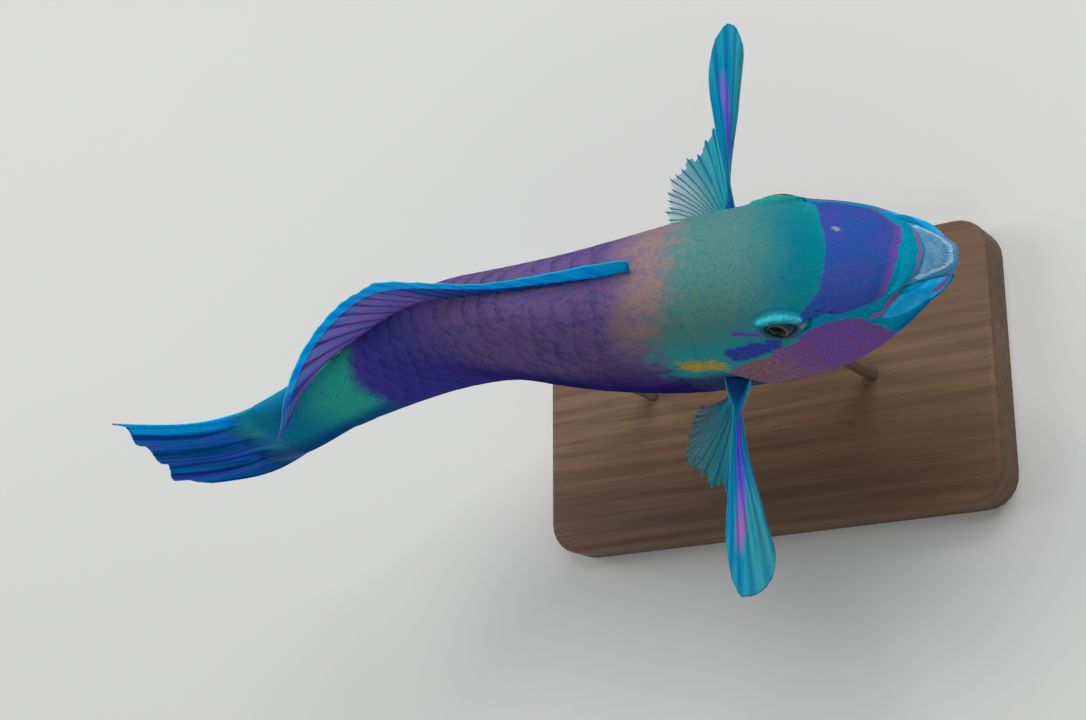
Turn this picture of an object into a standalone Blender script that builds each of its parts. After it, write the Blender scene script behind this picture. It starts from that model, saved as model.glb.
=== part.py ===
"""A life-size parrotfish, swimming with its tail bent, on a plain display stand."""

import math

import bmesh
import bpy
import numpy as np

# Lengths are in millimetres until the points are placed. The fish is laid out straight first:
# u runs back from the tip of the snout, side is towards the fish's left and up is above the snout.
MM = 0.001
GAP = 0.3

BODY_LENGTH = 305.0
ROUNDNESS = 2.15
BACK_LINE = (
    (0, 3), (3, 9.2), (8, 15), (15, 21.5), (25, 28.4), (38, 35.4), (52, 41.5), (70, 46.6), (90, 50.2),
    (115, 53), (145, 54.2), (180, 49), (210, 38.6), (240, 28.2), (262, 22.6), (282, 19.6), (305, 21),
)
BELLY_LINE = (
    (0, -3), (3, -7.2), (8, -10.5), (15, -15), (25, -22.5), (38, -32), (52, -40), (70, -47.4), (90, -52.6),
    (115, -56), (145, -55.4), (180, -48.8), (210, -41), (240, -31), (262, -24.4), (282, -20), (305, -20.6),
)
FLANK_LINE = (
    (0, 5), (3, 8.4), (8, 12), (15, 16.4), (25, 21.6), (38, 26), (52, 28.8), (70, 29.4), (90, 28.2),
    (115, 26), (145, 22.4), (180, 18.7), (210, 15.4), (240, 12), (262, 9.6), (282, 7.8), (305, 5.2),
)

# The bend of the body in the pose, in degrees along u: heading turns the tail towards the fish's
# right, climb lifts it and twist leans its upper edge to the left.
HEADING = (
    (-20, 0), (60, 0), (100, 1.5), (140, -4.5), (180, -10.5), (220, 6), (255, 20.5), (290, 25.5),
    (315, 12), (345, 2), (380, 0), (420, 0),
)
CLIMB = ((-20, 0), (120, 0), (200, -2), (285, 10), (305, 9), (340, 7), (420, 7))
TWIST = ((-20, 0), (80, 0), (180, 0), (285, 11.5), (420, 11))

# Where the body is parted: the gill opening is a line round the body, by the angle from the back.
LIPS_U = 12.0
GILL_LINE = ((0, 84), (50, 85), (72, 90), (90, 84), (105, 81), (125, 78), (155, 70), (180, 62))
TRUNK_CUT = 165.0
STALK_CUT = 265.0

EYE = (53.7, 18.6, 25.0)
EYE_RADIUS = 7.6
BROW_HEIGHT = 1.9
BROW_REACH = 9.5
LIP_HEIGHT = 0.9
GILL_EDGE_HEIGHT = 0.7
NOSTRILS = ((36.0, 23.5), (39.5, 26.0))
NOSTRIL_RADIUS = 0.9

# The two tooth plates meet along the mouth line, which rises towards the corners of the mouth.
BEAK_TIP_U = 0.6
MOUTH_LINE = ((0, 0.4), (2, 3.0), (5, 6.2), (8, 8.6), (12, 10.6))
BEAK_INSET = 0.9

DORSAL_BASE = (99.0, 262.0)
DORSAL_SPINES = 9
DORSAL_SOFT_RAYS = 10
DORSAL_TIPS = (
    (101, 53.5), (106, 61), (120, 64), (155, 62), (176, 67), (197, 68), (215, 60.5), (231, 54.5),
    (267, 40.5), (284, 28.4), (299, 9),
)
DORSAL_TIP_U = ((99, 101), (118, 128), (180, 201), (225, 252), (262, 299))
DORSAL_LEAN = -9.5
DORSAL_LEAN_U = (225.0, 285.0)

ANAL_BASE = (206.0, 262.0)
ANAL_RAYS = 12
ANAL_TIPS = ((209, -43), (216, -48), (234, -44), (262, -32), (285, -26))
ANAL_TIP_U = ((206, 209), (222, 240), (262, 285))
ANAL_LEAN = 4.5
ANAL_LEAN_U = (212.0, 235.0)

TAIL_RAYS = 13
TAIL_BASE_HALF = 18.6
TAIL_TIP_U = ((0, 367), (0.1, 365), (0.3, 369), (0.55, 370), (0.8, 376), (0.93, 373), (1, 363))
TAIL_TIP_UP = ((0, 36.5), (0.1, 29), (0.3, 14), (0.55, -3), (0.8, -19), (0.93, -26), (1, -29.5))
TAIL_SAG = 3.4
TAIL_PLEATS = 3.5
TAIL_PLEAT_DEPTH = 1.9

PECTORAL_RAYS = 13
PECTORAL_BASE = ((86.8, -2.5), (91.5, -13.5))
PECTORAL_LENGTH = {
    "left": (
        (0, 55.5), (0.08, 70), (0.2, 79.7), (0.32, 76), (0.42, 66), (0.5, 51), (0.58, 45), (0.8, 36), (1, 30),
    ),
    "right": (
        (0, 59.5), (0.08, 70), (0.2, 81), (0.32, 79), (0.42, 65), (0.5, 54), (0.58, 42), (0.8, 33), (1, 27),
    ),
}
PECTORAL_FAN = {
    "left": ((0, -6.7), (0.2, 1.8), (0.42, 8.3), (0.5, 16), (0.6, 33), (0.8, 60), (1, 86)),
    "right": ((0, 2.3), (0.2, 8.5), (0.42, 21), (0.5, 27), (0.6, 40), (0.8, 68), (1, 88)),
}
PECTORAL_ROOT = 1.6
PECTORAL_POSE = {"left": (-6.9, -12.7), "right": (10.5, -1.3)}
# The slope from leading to trailing rays at the root, at the tip and in the fan behind the blade.
PECTORAL_SLOPE = {"left": (56.0, 129.0, 5.0), "right": (99.0, 140.0, 28.0)}

PELVIC_RAYS = 6
PELVIC_BASE = ((104.0, 9.5), (110.0, 5.0))
PELVIC_LENGTH = ((0, 46), (0.2, 54), (1, 36))

MEMBRANE_HALF = 0.3
RAY_HALF = 0.62
FIN_CLEARANCE = 1.5

BASE_SIZE = (215.0, 120.0, 18.0)
BASE_CORNER = 14.0
BASE_CHAMFER = 2.5
BASE_CENTRE_U = 138.0
SNOUT_HEIGHT = 135.0
ROD_RADIUS = 3.0
RODS = {"stand_rod_front": 84.0, "stand_rod_rear": 192.0}

AROUND = 56


def curve(points, at):
    """Value at a place of the smooth line through (place, value) points, with no overshoot."""
    place, value = np.array(points, float).T
    step = np.diff(place)
    rise = np.diff(value) / step
    slope = np.concatenate([rise[:1], np.zeros(len(rise) - 1), rise[-1:]])
    for i in range(1, len(rise)):
        if rise[i - 1] * rise[i] > 0:
            before = 2 * step[i] + step[i - 1]
            after = step[i] + 2 * step[i - 1]
            slope[i] = (before + after) / (before / rise[i - 1] + after / rise[i])
    at = np.clip(np.asarray(at, float), place[0], place[-1])
    i = np.clip(np.searchsorted(place, at) - 1, 0, len(step) - 1)
    t = (at - place[i]) / step[i]
    start = (1 + 2 * t) * (1 - t) ** 2 * value[i] + t * (1 - t) ** 2 * step[i] * slope[i]
    end = t * t * (3 - 2 * t) * value[i + 1] + t * t * (t - 1) * step[i] * slope[i + 1]
    return start + end


def ease(value, start, end):
    """0 before start and 1 past end, with a soft step between."""
    t = np.clip((np.asarray(value, float) - start) / (end - start), 0, 1)
    return t * t * (3 - 2 * t)


def spine():
    """Points and directions of the body's axis, one for each millimetre of u."""
    u = np.arange(-20.0, 421.0)
    heading = np.radians(curve(HEADING, u))
    climb = np.radians(curve(CLIMB, u))
    twist = np.radians(curve(TWIST, u))
    back = np.stack([-np.cos(heading) * np.cos(climb), -np.sin(heading) * np.cos(climb), np.sin(climb)], 1)
    point = np.concatenate([np.zeros((1, 3)), np.cumsum((back[1:] + back[:-1]) / 2, 0)])
    point -= point[20]
    left = np.cross(back, (0, 0, 1))
    left /= np.linalg.norm(left, axis=1, keepdims=True)
    up = np.cross(left, back)
    cos, sin = np.cos(twist)[:, None], np.sin(twist)[:, None]
    return u, point, left * cos - up * sin, up * cos + left * sin


SPINE_U, SPINE_POINT, SPINE_LEFT, SPINE_UP = spine()


def place(points):
    """World points, in metres, of points (u, side, up) of the straight fish."""
    points = np.asarray(points, float)
    u = points[..., 0]

    def at(table):
        return np.stack([np.interp(u, SPINE_U, table[:, k]) for k in range(3)], -1)

    world = at(SPINE_POINT) + at(SPINE_LEFT) * points[..., 1:2] + at(SPINE_UP) * points[..., 2:3]
    return (world + (BASE_CENTRE_U, 0, SNOUT_HEIGHT)) * MM


def relief(u, side, up):
    """Height of the skin over the plain body: brows over the eyes, and lips."""
    away = np.hypot(u - EYE[0], (up - EYE[2]) * 1.1)
    brow = BROW_HEIGHT * np.exp(-(away / BROW_REACH) ** 4) * ease(np.abs(side), 8, 16)
    lips = LIP_HEIGHT * ease(u, LIPS_U - 2, LIPS_U + 1) * (1 - ease(u, LIPS_U + 2, LIPS_U + 6))
    return brow + lips


def skin(u, angle, edge=0.0):
    """Points of the body's surface; angle runs from the back (0) over the left side to the belly."""
    u, angle = np.broadcast_arrays(np.asarray(u, float), np.asarray(angle, float))
    top, bottom, flank = curve(BACK_LINE, u), curve(BELLY_LINE, u), curve(FLANK_LINE, u)
    middle = (top + bottom) / 2
    power = 2 / ROUNDNESS
    side = flank * np.sign(np.sin(angle)) * np.abs(np.sin(angle)) ** power
    height = (top - bottom) / 2 * np.sign(np.cos(angle)) * np.abs(np.cos(angle)) ** power
    swell = 1 + (relief(u, side, middle + height) + edge) / np.hypot(side, height)
    return np.stack([u, side * swell, middle + height * swell], -1)


def back_height(u, side):
    """Height of the back at a distance to the side of the middle."""
    top, bottom = curve(BACK_LINE, u), curve(BELLY_LINE, u)
    share = np.clip(np.abs(side) / curve(FLANK_LINE, u), 0, 0.99)
    return (top + bottom) / 2 + (top - bottom) / 2 * (1 - share ** ROUNDNESS) ** (1 / ROUNDNESS)


def belly_height(u, side):
    """Height of the belly at a distance to the side of the middle."""
    return curve(BACK_LINE, u) + curve(BELLY_LINE, u) - back_height(u, side)


def flank_side(u, up):
    """Distance of the flank from the middle, at a height."""
    top, bottom = curve(BACK_LINE, u), curve(BELLY_LINE, u)
    share = np.clip(np.abs(up - (top + bottom) / 2) / ((top - bottom) / 2), 0, 0.99)
    return curve(FLANK_LINE, u) * (1 - share ** ROUNDNESS) ** (1 / ROUNDNESS)


def collection(name):
    """A new collection in the scene."""
    made = bpy.data.collections.new(name)
    bpy.context.scene.collection.children.link(made)
    return made


def material(name, colour, roughness, metallic=0.0):
    """A plain coloured surface."""
    made = bpy.data.materials.new(name)
    made.use_nodes = True
    shader = made.node_tree.nodes["Principled BSDF"]
    shader.inputs["Base Color"].default_value = (*colour, 1)
    shader.inputs["Roughness"].default_value = roughness
    shader.inputs["Metallic"].default_value = metallic
    made.diffuse_color = (*colour, 1)
    return made


def add_mesh(name, points, faces, parts, surface=None, sharp=40):
    """An object with its origin in the middle of its points."""
    points = np.asarray(points, float).reshape(-1, 3)
    middle = (points.min(0) + points.max(0)) / 2
    mesh = bpy.data.meshes.new(name)
    mesh.from_pydata([tuple(p) for p in points - middle], [], faces)
    mesh.shade_smooth()
    mesh.set_sharp_from_angle(angle=math.radians(sharp))
    if surface:
        mesh.materials.append(surface)
    made = bpy.data.objects.new(name, mesh)
    made.location = middle
    parts.objects.link(made)
    return made


def loft(name, rings, parts, surface):
    """A closed body through rings of points, its ends closed to their middles."""
    rings = np.asarray(rings, float)
    count, around = rings.shape[:2]
    points = [*rings.reshape(-1, 3), rings[0].mean(0), rings[-1].mean(0)]
    first, last = count * around, count * around + 1
    faces = []
    for k in range(around):
        after = (k + 1) % around
        faces.append((first, k, after))
        faces.append((last, (count - 1) * around + after, (count - 1) * around + k))
        for row in range(count - 1):
            a, b = row * around + k, row * around + after
            faces.append((a, a + around, b + around, b))
    made = add_mesh(name, points, faces, parts, surface)
    turn_out(made)
    return made


def turn_out(made):
    """Turns a closed mesh's faces outward."""
    work = bmesh.new()
    work.from_mesh(made.data)
    bmesh.ops.recalc_face_normals(work, faces=work.faces)
    if work.calc_volume(signed=True) < 0:
        bmesh.ops.reverse_faces(work, faces=work.faces)
    work.to_mesh(made.data)
    work.free()


def sheet(name, left, right, parts, surface):
    """A closed fin between two grids of points, split into triangles alike on both faces."""
    rows, columns = left.shape[:2]
    points = [*left.reshape(-1, 3), *right.reshape(-1, 3)]
    shift = rows * columns
    faces = []
    for r in range(rows - 1):
        for c in range(columns - 1):
            a, b = r * columns + c, r * columns + c + 1
            d, e = a + columns, b + columns
            faces += [(a, b, e), (a, e, d)]
            faces += [(a + shift, e + shift, b + shift), (a + shift, d + shift, e + shift)]
    rim = [(0, c) for c in range(columns)]
    rim += [(r, columns - 1) for r in range(1, rows)]
    rim += [(rows - 1, c) for c in range(columns - 2, -1, -1)]
    rim += [(r, 0) for r in range(rows - 2, 0, -1)]
    for k, (r, c) in enumerate(rim):
        a = r * columns + c
        r, c = rim[(k + 1) % len(rim)]
        b = r * columns + c
        faces += [(a, a + shift, b + shift), (a, b + shift, b)]
    made = add_mesh(name, points, faces, parts, surface, 60)
    turn_out(made)
    return made


def thickness(rays, columns, rows):
    """Half the thickness of a fin over its grid: a ridge along each ray, thinner towards the tips."""
    along = np.linspace(0, 1, rows)[:, None]
    ridge = np.cos(math.pi * (rays - 1) * np.linspace(0, 1, columns)[None, :]) ** 2
    return (MEMBRANE_HALF + (RAY_HALF - MEMBRANE_HALF) * ridge * (1 - 0.75 * along)) * (1.25 - 0.3 * along)


def faces_of(centre, half):
    """The two faces of a fin, half a thickness to either side of its middle surface."""
    across = np.gradient(centre, axis=1)
    along = np.gradient(centre, axis=0)
    normal = np.cross(across, along)
    normal /= np.linalg.norm(normal, axis=2, keepdims=True)
    return centre + normal * half[..., None], centre - normal * half[..., None]


def median_fin(base_u, tips, tip_u, rays, rows, lean, height_at, rise):
    """Both faces of a fin that stands on the back (rise 1) or hangs from the belly (rise -1)."""
    columns = 2 * rays - 1
    share = np.linspace(0, 1, columns)
    foot_u = base_u[0] + (base_u[1] - base_u[0]) * share
    end_u = curve(tip_u, foot_u)
    foot = np.stack([foot_u, 0 * foot_u, height_at(foot_u, 0.6) + rise * GAP], 1)
    end = np.stack([end_u, lean(end_u), curve(tips, end_u)], 1)
    f = np.linspace(0, 1, rows)[:, None, None]
    centre = foot + (end - foot) * f
    centre[..., 0] += 1.5 * np.sin(math.pi * f[..., 0])
    centre[..., 1] = lean(end_u) * f[..., 0] ** 1.3
    clear = height_at(centre[..., 0], centre[..., 1]) + rise * FIN_CLEARANCE * ease(f[..., 0], 0, 0.15)
    centre[..., 2] = rise * np.maximum(rise * centre[..., 2], rise * clear)
    left, right = faces_of(centre, thickness(rays, columns, rows))
    for face in (left, right):
        face[0, :, 2] = height_at(face[0, :, 0], face[0, :, 1]) + rise * GAP
    return left, right


def gill_u(angle):
    """Where the gill opening crosses the body at an angle from the back, in radians."""
    folded = np.degrees(np.arccos(np.cos(angle)))
    return curve(GILL_LINE, folded)


def build_body(parts, flesh):
    """The head, the two lengths of the trunk and the tail stalk."""
    angle = np.linspace(0, 2 * math.pi, AROUND, endpoint=False)
    gill = gill_u(angle)
    flap = ease(np.degrees(np.arccos(np.cos(angle))), 25, 50) * (
        1 - ease(np.degrees(np.arccos(np.cos(angle))), 130, 160))
    rings = []
    for share in np.linspace(0, 1, 19):
        u = LIPS_U + (gill - LIPS_U) * share
        rings.append(skin(u, angle, GILL_EDGE_HEIGHT * flap * ease(share, 0.9, 1)))
    loft("head", place(rings), parts, flesh["head"])
    rings = []
    for share in np.linspace(0, 1, 13):
        rings.append(skin(gill + GAP + (TRUNK_CUT - gill - GAP) * share, angle))
    loft("trunk_front", place(rings), parts, flesh["trunk"])
    rings = [skin(u, angle) for u in np.linspace(TRUNK_CUT + GAP, STALK_CUT, 15)]
    loft("trunk_rear", place(rings), parts, flesh["trunk"])
    rings = [skin(u, angle) for u in np.linspace(STALK_CUT + GAP, BODY_LENGTH, 7)]
    loft("tail_stalk", place(rings), parts, flesh["stalk"])


def build_eyes(parts, cutters, surface):
    """The eyes, each in a socket cut in the head, and the nostrils in front of them."""
    head = parts.objects["head"]
    for name, sign in (("left", 1), ("right", -1)):
        middle = place([EYE[0], sign * EYE[1], EYE[2]])
        for radius, label, group in ((EYE_RADIUS, "eye_", parts), (EYE_RADIUS + GAP, "socket_", cutters)):
            ball = bpy.data.meshes.new(label + name)
            work = bmesh.new()
            bmesh.ops.create_uvsphere(work, u_segments=20, v_segments=12, radius=radius * MM)
            work.to_mesh(ball)
            work.free()
            ball.shade_smooth()
            made = bpy.data.objects.new(label + name, ball)
            made.location = middle
            made.rotation_euler = (math.radians(90 + 12 * sign), 0, 0)
            group.objects.link(made)
            if group is parts:
                ball.materials.append(surface)
            else:
                cut(head, made)
        for k, (u, up) in enumerate(NOSTRILS):
            pit = bpy.data.meshes.new("nostril")
            work = bmesh.new()
            bmesh.ops.create_icosphere(work, subdivisions=1, radius=NOSTRIL_RADIUS * MM)
            work.to_mesh(pit)
            work.free()
            made = bpy.data.objects.new(f"nostril_{name}_{k}", pit)
            made.location = place([u, sign * flank_side(u, up), up])
            cutters.objects.link(made)
            cut(head, made)


def cut(target, cutter):
    """Takes a cutter out of a target."""
    cutter.hide_render = True
    cutter.display_type = "WIRE"
    boolean = target.modifiers.new("cut " + cutter.name, "BOOLEAN")
    boolean.operation = "DIFFERENCE"
    boolean.object = cutter


def build_beak(parts, surface):
    """The two tooth plates, seated inside the lips, with the mouth line between them."""
    for name, rise in (("beak_upper", 1), ("beak_lower", -1)):
        rings = []
        for u in np.linspace(BEAK_TIP_U, LIPS_U - GAP, 8):
            top, bottom = curve(BACK_LINE, u) - BEAK_INSET, curve(BELLY_LINE, u) + BEAK_INSET
            middle, height = (top + bottom) / 2, (top - bottom) / 2
            limit = math.acos((curve(MOUTH_LINE, u) + rise * GAP / 2 - middle) / height)
            arc = np.linspace(-limit, limit, 15) if rise > 0 else np.linspace(limit, 2 * math.pi - limit, 15)
            width = curve(FLANK_LINE, u) - BEAK_INSET
            rings.append(np.stack([0 * arc + u, width * np.sin(arc), middle + height * np.cos(arc)], 1))
        loft(name, place(rings), parts, surface)


def build_median_fins(parts, surface):
    """The dorsal and anal fins."""
    def dorsal_lean(u):
        return DORSAL_LEAN * ease(u, *DORSAL_LEAN_U)

    def anal_lean(u):
        return ANAL_LEAN * ease(u, *ANAL_LEAN_U)

    rays = DORSAL_SPINES + DORSAL_SOFT_RAYS
    left, right = median_fin(DORSAL_BASE, DORSAL_TIPS, DORSAL_TIP_U, rays, 7, dorsal_lean, back_height, 1)
    sheet("dorsal_fin", place(left), place(right), parts, surface)
    left, right = median_fin(ANAL_BASE, ANAL_TIPS, ANAL_TIP_U, ANAL_RAYS, 6, anal_lean, belly_height, -1)
    sheet("anal_fin", place(left), place(right), parts, surface)


def build_tail_fin(parts, surface):
    """The tail fin, half closed, so that it stands in shallow pleats."""
    columns, rows = 2 * TAIL_RAYS - 1, 10
    share = np.linspace(0, 1, columns)
    f = np.linspace(0, 1, rows)[:, None]
    foot_up = TAIL_BASE_HALF * (1 - 2 * share)
    u = BODY_LENGTH + GAP + (curve(TAIL_TIP_U, share) - BODY_LENGTH - GAP) * f
    up = foot_up + (curve(TAIL_TIP_UP, share) - foot_up) * f - TAIL_SAG * np.sin(math.pi * f)
    side = TAIL_PLEAT_DEPTH * np.sin(2 * math.pi * TAIL_PLEATS * share) * np.sin(math.pi * f * 0.75)
    half = thickness(TAIL_RAYS, columns, rows) + 1.1 * (1 - ease(f, 0, 0.25))
    left, right = faces_of(np.stack([u, side, up], -1), half)
    for face in (left, right):
        face[0, :, 0] = BODY_LENGTH + GAP
    sheet("caudal_fin", place(left), place(right), parts, surface)


def build_pectoral(parts, surface, name, sign):
    """A side fin: a long blade of the first rays that turns over, and a short fan behind it."""
    columns, rows = 2 * PECTORAL_RAYS - 1, 14
    share = np.linspace(0, 1, columns)
    f = np.linspace(0, 1, rows)[:, None]
    foot_u = PECTORAL_BASE[0][0] + (PECTORAL_BASE[1][0] - PECTORAL_BASE[0][0]) * share
    foot_up = PECTORAL_BASE[0][1] + (PECTORAL_BASE[1][1] - PECTORAL_BASE[0][1]) * share
    sweep, droop = np.radians(PECTORAL_POSE[name])
    out = np.array([math.sin(sweep), math.cos(sweep) * math.cos(droop), -math.sin(droop)])
    turn_over = ease(f, 0.15, 0.75) * (1 - ease(share, 0.34, 0.52))
    flatten = ease(share, 0.44, 0.68)
    at_root, at_tip, behind = PECTORAL_SLOPE[name]
    slope = np.radians(at_root + (at_tip - at_root) * turn_over + (behind - at_root) * flatten)
    chord = np.stack([np.cos(slope), 0 * slope, -np.sin(slope)], -1)
    reach = curve(PECTORAL_LENGTH[name], share) * f
    fan = np.radians(curve(PECTORAL_FAN[name], share)) * (0.72 + 0.28 * f)
    foot = np.stack([foot_u, flank_side(foot_u, foot_up) + GAP, foot_up], -1)
    centre = foot + out * (reach * np.cos(fan))[..., None] + chord * (reach * np.sin(fan))[..., None]
    root = (1 - ease(f, 0, 0.3)) * (1 - 0.85 * ease(share, 0.35, 0.85))
    half = thickness(PECTORAL_RAYS, columns, rows) + PECTORAL_ROOT * root
    left, right = faces_of(centre, half)
    for face in (left, right):
        face[0, :, 1] = flank_side(face[0, :, 0], face[0, :, 2]) + GAP
        face[..., 1] *= sign
    sheet("pectoral_fin_" + name, place(left), place(right), parts, surface)


def build_pelvic(parts, surface, name, sign):
    """A belly fin, laid back close under the belly."""
    columns, rows = 2 * PELVIC_RAYS - 1, 8
    share = np.linspace(0, 1, columns)
    f = np.linspace(0, 1, rows)[:, None]
    foot_u = PELVIC_BASE[0][0] + (PELVIC_BASE[1][0] - PELVIC_BASE[0][0]) * share
    foot_side = PELVIC_BASE[0][1] + (PELVIC_BASE[1][1] - PELVIC_BASE[0][1]) * share
    reach = curve(PELVIC_LENGTH, share) * f
    u = foot_u + reach * 0.96
    side = foot_side + reach * (0.03 - 0.05 * share)
    up = belly_height(foot_u, foot_side) - GAP - reach * (0.26 - 0.08 * share) + 2.5 * f * f
    left, right = faces_of(np.stack([u, side, up], -1), thickness(PELVIC_RAYS, columns, rows))
    for face in (left, right):
        face[0, :, 2] = belly_height(face[0, :, 0], face[0, :, 1]) - GAP
        face[..., 1] *= sign
    sheet("pelvic_fin_" + name, place(left), place(right), parts, surface)


def build_stand(parts, wood, steel):
    """The flat base and the two rods that end just under the belly."""
    work = bmesh.new()
    bmesh.ops.create_cube(work, size=1)
    bmesh.ops.scale(work, vec=[size * MM for size in BASE_SIZE], verts=work.verts)
    upright = [edge for edge in work.edges if abs(edge.verts[0].co.z - edge.verts[1].co.z) > MM]
    bmesh.ops.bevel(work, geom=upright, offset=BASE_CORNER * MM, segments=6, profile=0.5, affect="EDGES")
    top = [edge for edge in work.edges if min(v.co.z for v in edge.verts) > 0]
    bmesh.ops.bevel(work, geom=top, offset=BASE_CHAMFER * MM, segments=2, profile=0.5, affect="EDGES")
    mesh = bpy.data.meshes.new("stand_base")
    work.to_mesh(mesh)
    work.free()
    mesh.materials.append(wood)
    base = bpy.data.objects.new("stand_base", mesh)
    base.location = (0, 0, BASE_SIZE[2] / 2 * MM)
    parts.objects.link(base)
    around = np.linspace(0, 2 * math.pi, 20, endpoint=False)
    for name, rod_u in RODS.items():
        u, side = rod_u + ROD_RADIUS * np.cos(around), ROD_RADIUS * np.sin(around)
        top = place(np.stack([u, side, belly_height(u, side) - GAP], 1))
        foot = top.copy()
        foot[:, 2] = (BASE_SIZE[2] + GAP) * MM
        loft(name, [foot, top], parts, steel)


def main():
    """Builds the model."""
    for old in list(bpy.data.objects):
        bpy.data.objects.remove(old, do_unlink=True)
    parts = collection("parrotfish")
    cutters = collection("cutters")
    flesh = {
        "head": material("head_skin", (0.05, 0.22, 0.25), 0.38),
        "trunk": material("trunk_skin", (0.18, 0.12, 0.22), 0.38),
        "stalk": material("stalk_skin", (0.05, 0.25, 0.22), 0.38),
    }
    fins = material("fins", (0.03, 0.2, 0.4), 0.35)
    build_body(parts, flesh)
    build_eyes(parts, cutters, material("eyes", (0.05, 0.1, 0.12), 0.08))
    build_beak(parts, material("beak", (0.2, 0.42, 0.5), 0.3))
    build_median_fins(parts, fins)
    build_tail_fin(parts, fins)
    for name, sign in (("left", 1), ("right", -1)):
        build_pectoral(parts, fins, name, sign)
        build_pelvic(parts, fins, name, sign)
    build_stand(parts, material("walnut", (0.12, 0.06, 0.035), 0.45), material("steel", (0.6, 0.6, 0.62), 0.3, 1.0))
    root = bpy.data.objects.new("parrotfish_root", None)
    parts.objects.link(root)
    for node in parts.objects:
        if node.type == "MESH":
            node.parent = root


main()
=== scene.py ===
"""The looks of a life-size parrotfish on its display stand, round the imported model."""

import math

import bpy
import numpy as np
from mathutils import Matrix, Vector


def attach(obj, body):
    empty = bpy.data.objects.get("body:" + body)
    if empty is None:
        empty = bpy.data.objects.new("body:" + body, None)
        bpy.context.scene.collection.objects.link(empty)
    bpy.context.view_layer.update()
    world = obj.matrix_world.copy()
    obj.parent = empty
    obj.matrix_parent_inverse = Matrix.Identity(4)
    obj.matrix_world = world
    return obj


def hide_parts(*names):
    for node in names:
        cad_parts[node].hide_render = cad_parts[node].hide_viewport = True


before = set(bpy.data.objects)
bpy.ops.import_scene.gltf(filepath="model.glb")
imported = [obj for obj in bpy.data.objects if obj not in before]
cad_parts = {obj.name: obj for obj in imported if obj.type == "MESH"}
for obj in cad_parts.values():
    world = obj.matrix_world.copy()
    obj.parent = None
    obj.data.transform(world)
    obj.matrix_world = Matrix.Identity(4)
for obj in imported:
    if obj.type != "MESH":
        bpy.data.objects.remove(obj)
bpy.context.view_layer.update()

# The shape of the straight fish in millimetres, as in the part: u back from the snout, side to the
# fish's left, up above the snout. Angles run round the body from the back, left positive.
MM = 0.001
GAP = 0.3
BODY_LENGTH = 305.0
ROUNDNESS = 2.15
BACK_LINE = (
    (0, 3), (3, 9.2), (8, 15), (15, 21.5), (25, 28.4), (38, 35.4), (52, 41.5), (70, 46.6), (90, 50.2),
    (115, 53), (145, 54.2), (180, 49), (210, 38.6), (240, 28.2), (262, 22.6), (282, 19.6), (305, 21),
)
BELLY_LINE = (
    (0, -3), (3, -7.2), (8, -10.5), (15, -15), (25, -22.5), (38, -32), (52, -40), (70, -47.4),
    (90, -52.6), (115, -56), (145, -55.4), (180, -48.8), (210, -41), (240, -31), (262, -24.4),
    (282, -20), (305, -20.6),
)
FLANK_LINE = (
    (0, 5), (3, 8.4), (8, 12), (15, 16.4), (25, 21.6), (38, 26), (52, 28.8), (70, 29.4), (90, 28.2),
    (115, 26), (145, 22.4), (180, 18.7), (210, 15.4), (240, 12), (262, 9.6), (282, 7.8), (305, 5.2),
)
HEADING = (
    (-20, 0), (60, 0), (100, 1.5), (140, -4.5), (180, -10.5), (220, 6), (255, 20.5), (290, 25.5),
    (315, 12), (345, 2), (380, 0), (420, 0),
)
CLIMB = ((-20, 0), (120, 0), (200, -2), (285, 10), (305, 9), (340, 7), (420, 7))
TWIST = ((-20, 0), (80, 0), (180, 0), (285, 11.5), (420, 11))
BASE_CENTRE_U = 138.0
SNOUT_HEIGHT = 135.0

# The head: the gill cover's edge, the eyes with their lids, and the nostrils.
GILL_LINE = ((0, 84), (50, 85), (72, 90), (90, 84), (105, 81), (125, 78), (155, 70), (180, 62))
EYE = (53.7, 18.6, 25.0)
EYE_RADIUS = 7.5
EYE_AXIS = (0.12, 0.91, 0.40)
LID_AXIS = (-0.12, 0.89, 0.45)
LID_WIDE = 5.3
LID_HIGH = 3.3
LID_TILT = 17.0
NOSTRILS = ((36.0, 23.5), (39.5, 26.0))

# Edge of the lips round the beak, and the line between the two tooth plates.
LIP_EDGE = (
    (0, 6), (16, 6.6), (38, 8.6), (49, 11.8), (53.5, 13.8), (56, 9.8), (61, 6.8), (68, 4.8),
    (76, 3.1), (88, 2.3), (105, 2.2), (121, 2.6), (180, 3.2),
)
MOUTH_LINE = (
    (-0.9, 3.1), (0, 3.6), (1.2, 4.6), (2.8, 6.5), (4.5, 8.3), (6, 9.4), (8, 10.8), (10.5, 12.6),
    (14, 13.8), (18, 14.4),
)
# The beak's own outline: the lower plate bulges ahead of the upper one, to a blunt front.
BEAK_TIP = -1.8
BEAK_BLUNT = 0.8
BEAK_TOP = ((-1.8, 1.6), (-1, 3.3), (0.5, 5), (1.5, 6.5), (3, 9.2), (8, 15), (17, 23))
BEAK_UNDER = ((-1.8, -0.8), (-0.9, -2), (0.5, -3.5), (3, -6.9), (8, -10.5), (17, -16.4))
BEAK_FLANK = ((-1.8, 3.2), (-0.9, 4.5), (0.5, 5.9), (1.5, 7), (3, 8.4), (8, 12), (17, 17.4))
MOUTH_CORNER = 54.0
# Each plate: its name, up or down, its first u, its rows, and how they crowd towards the front.
BEAK_PLATES = (("upper", 1, -0.92, 26, 1.5), ("lower", -1, BEAK_TIP + 0.01, 34, 2.0))
TOOTH_WIDTH = 1.7

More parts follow.
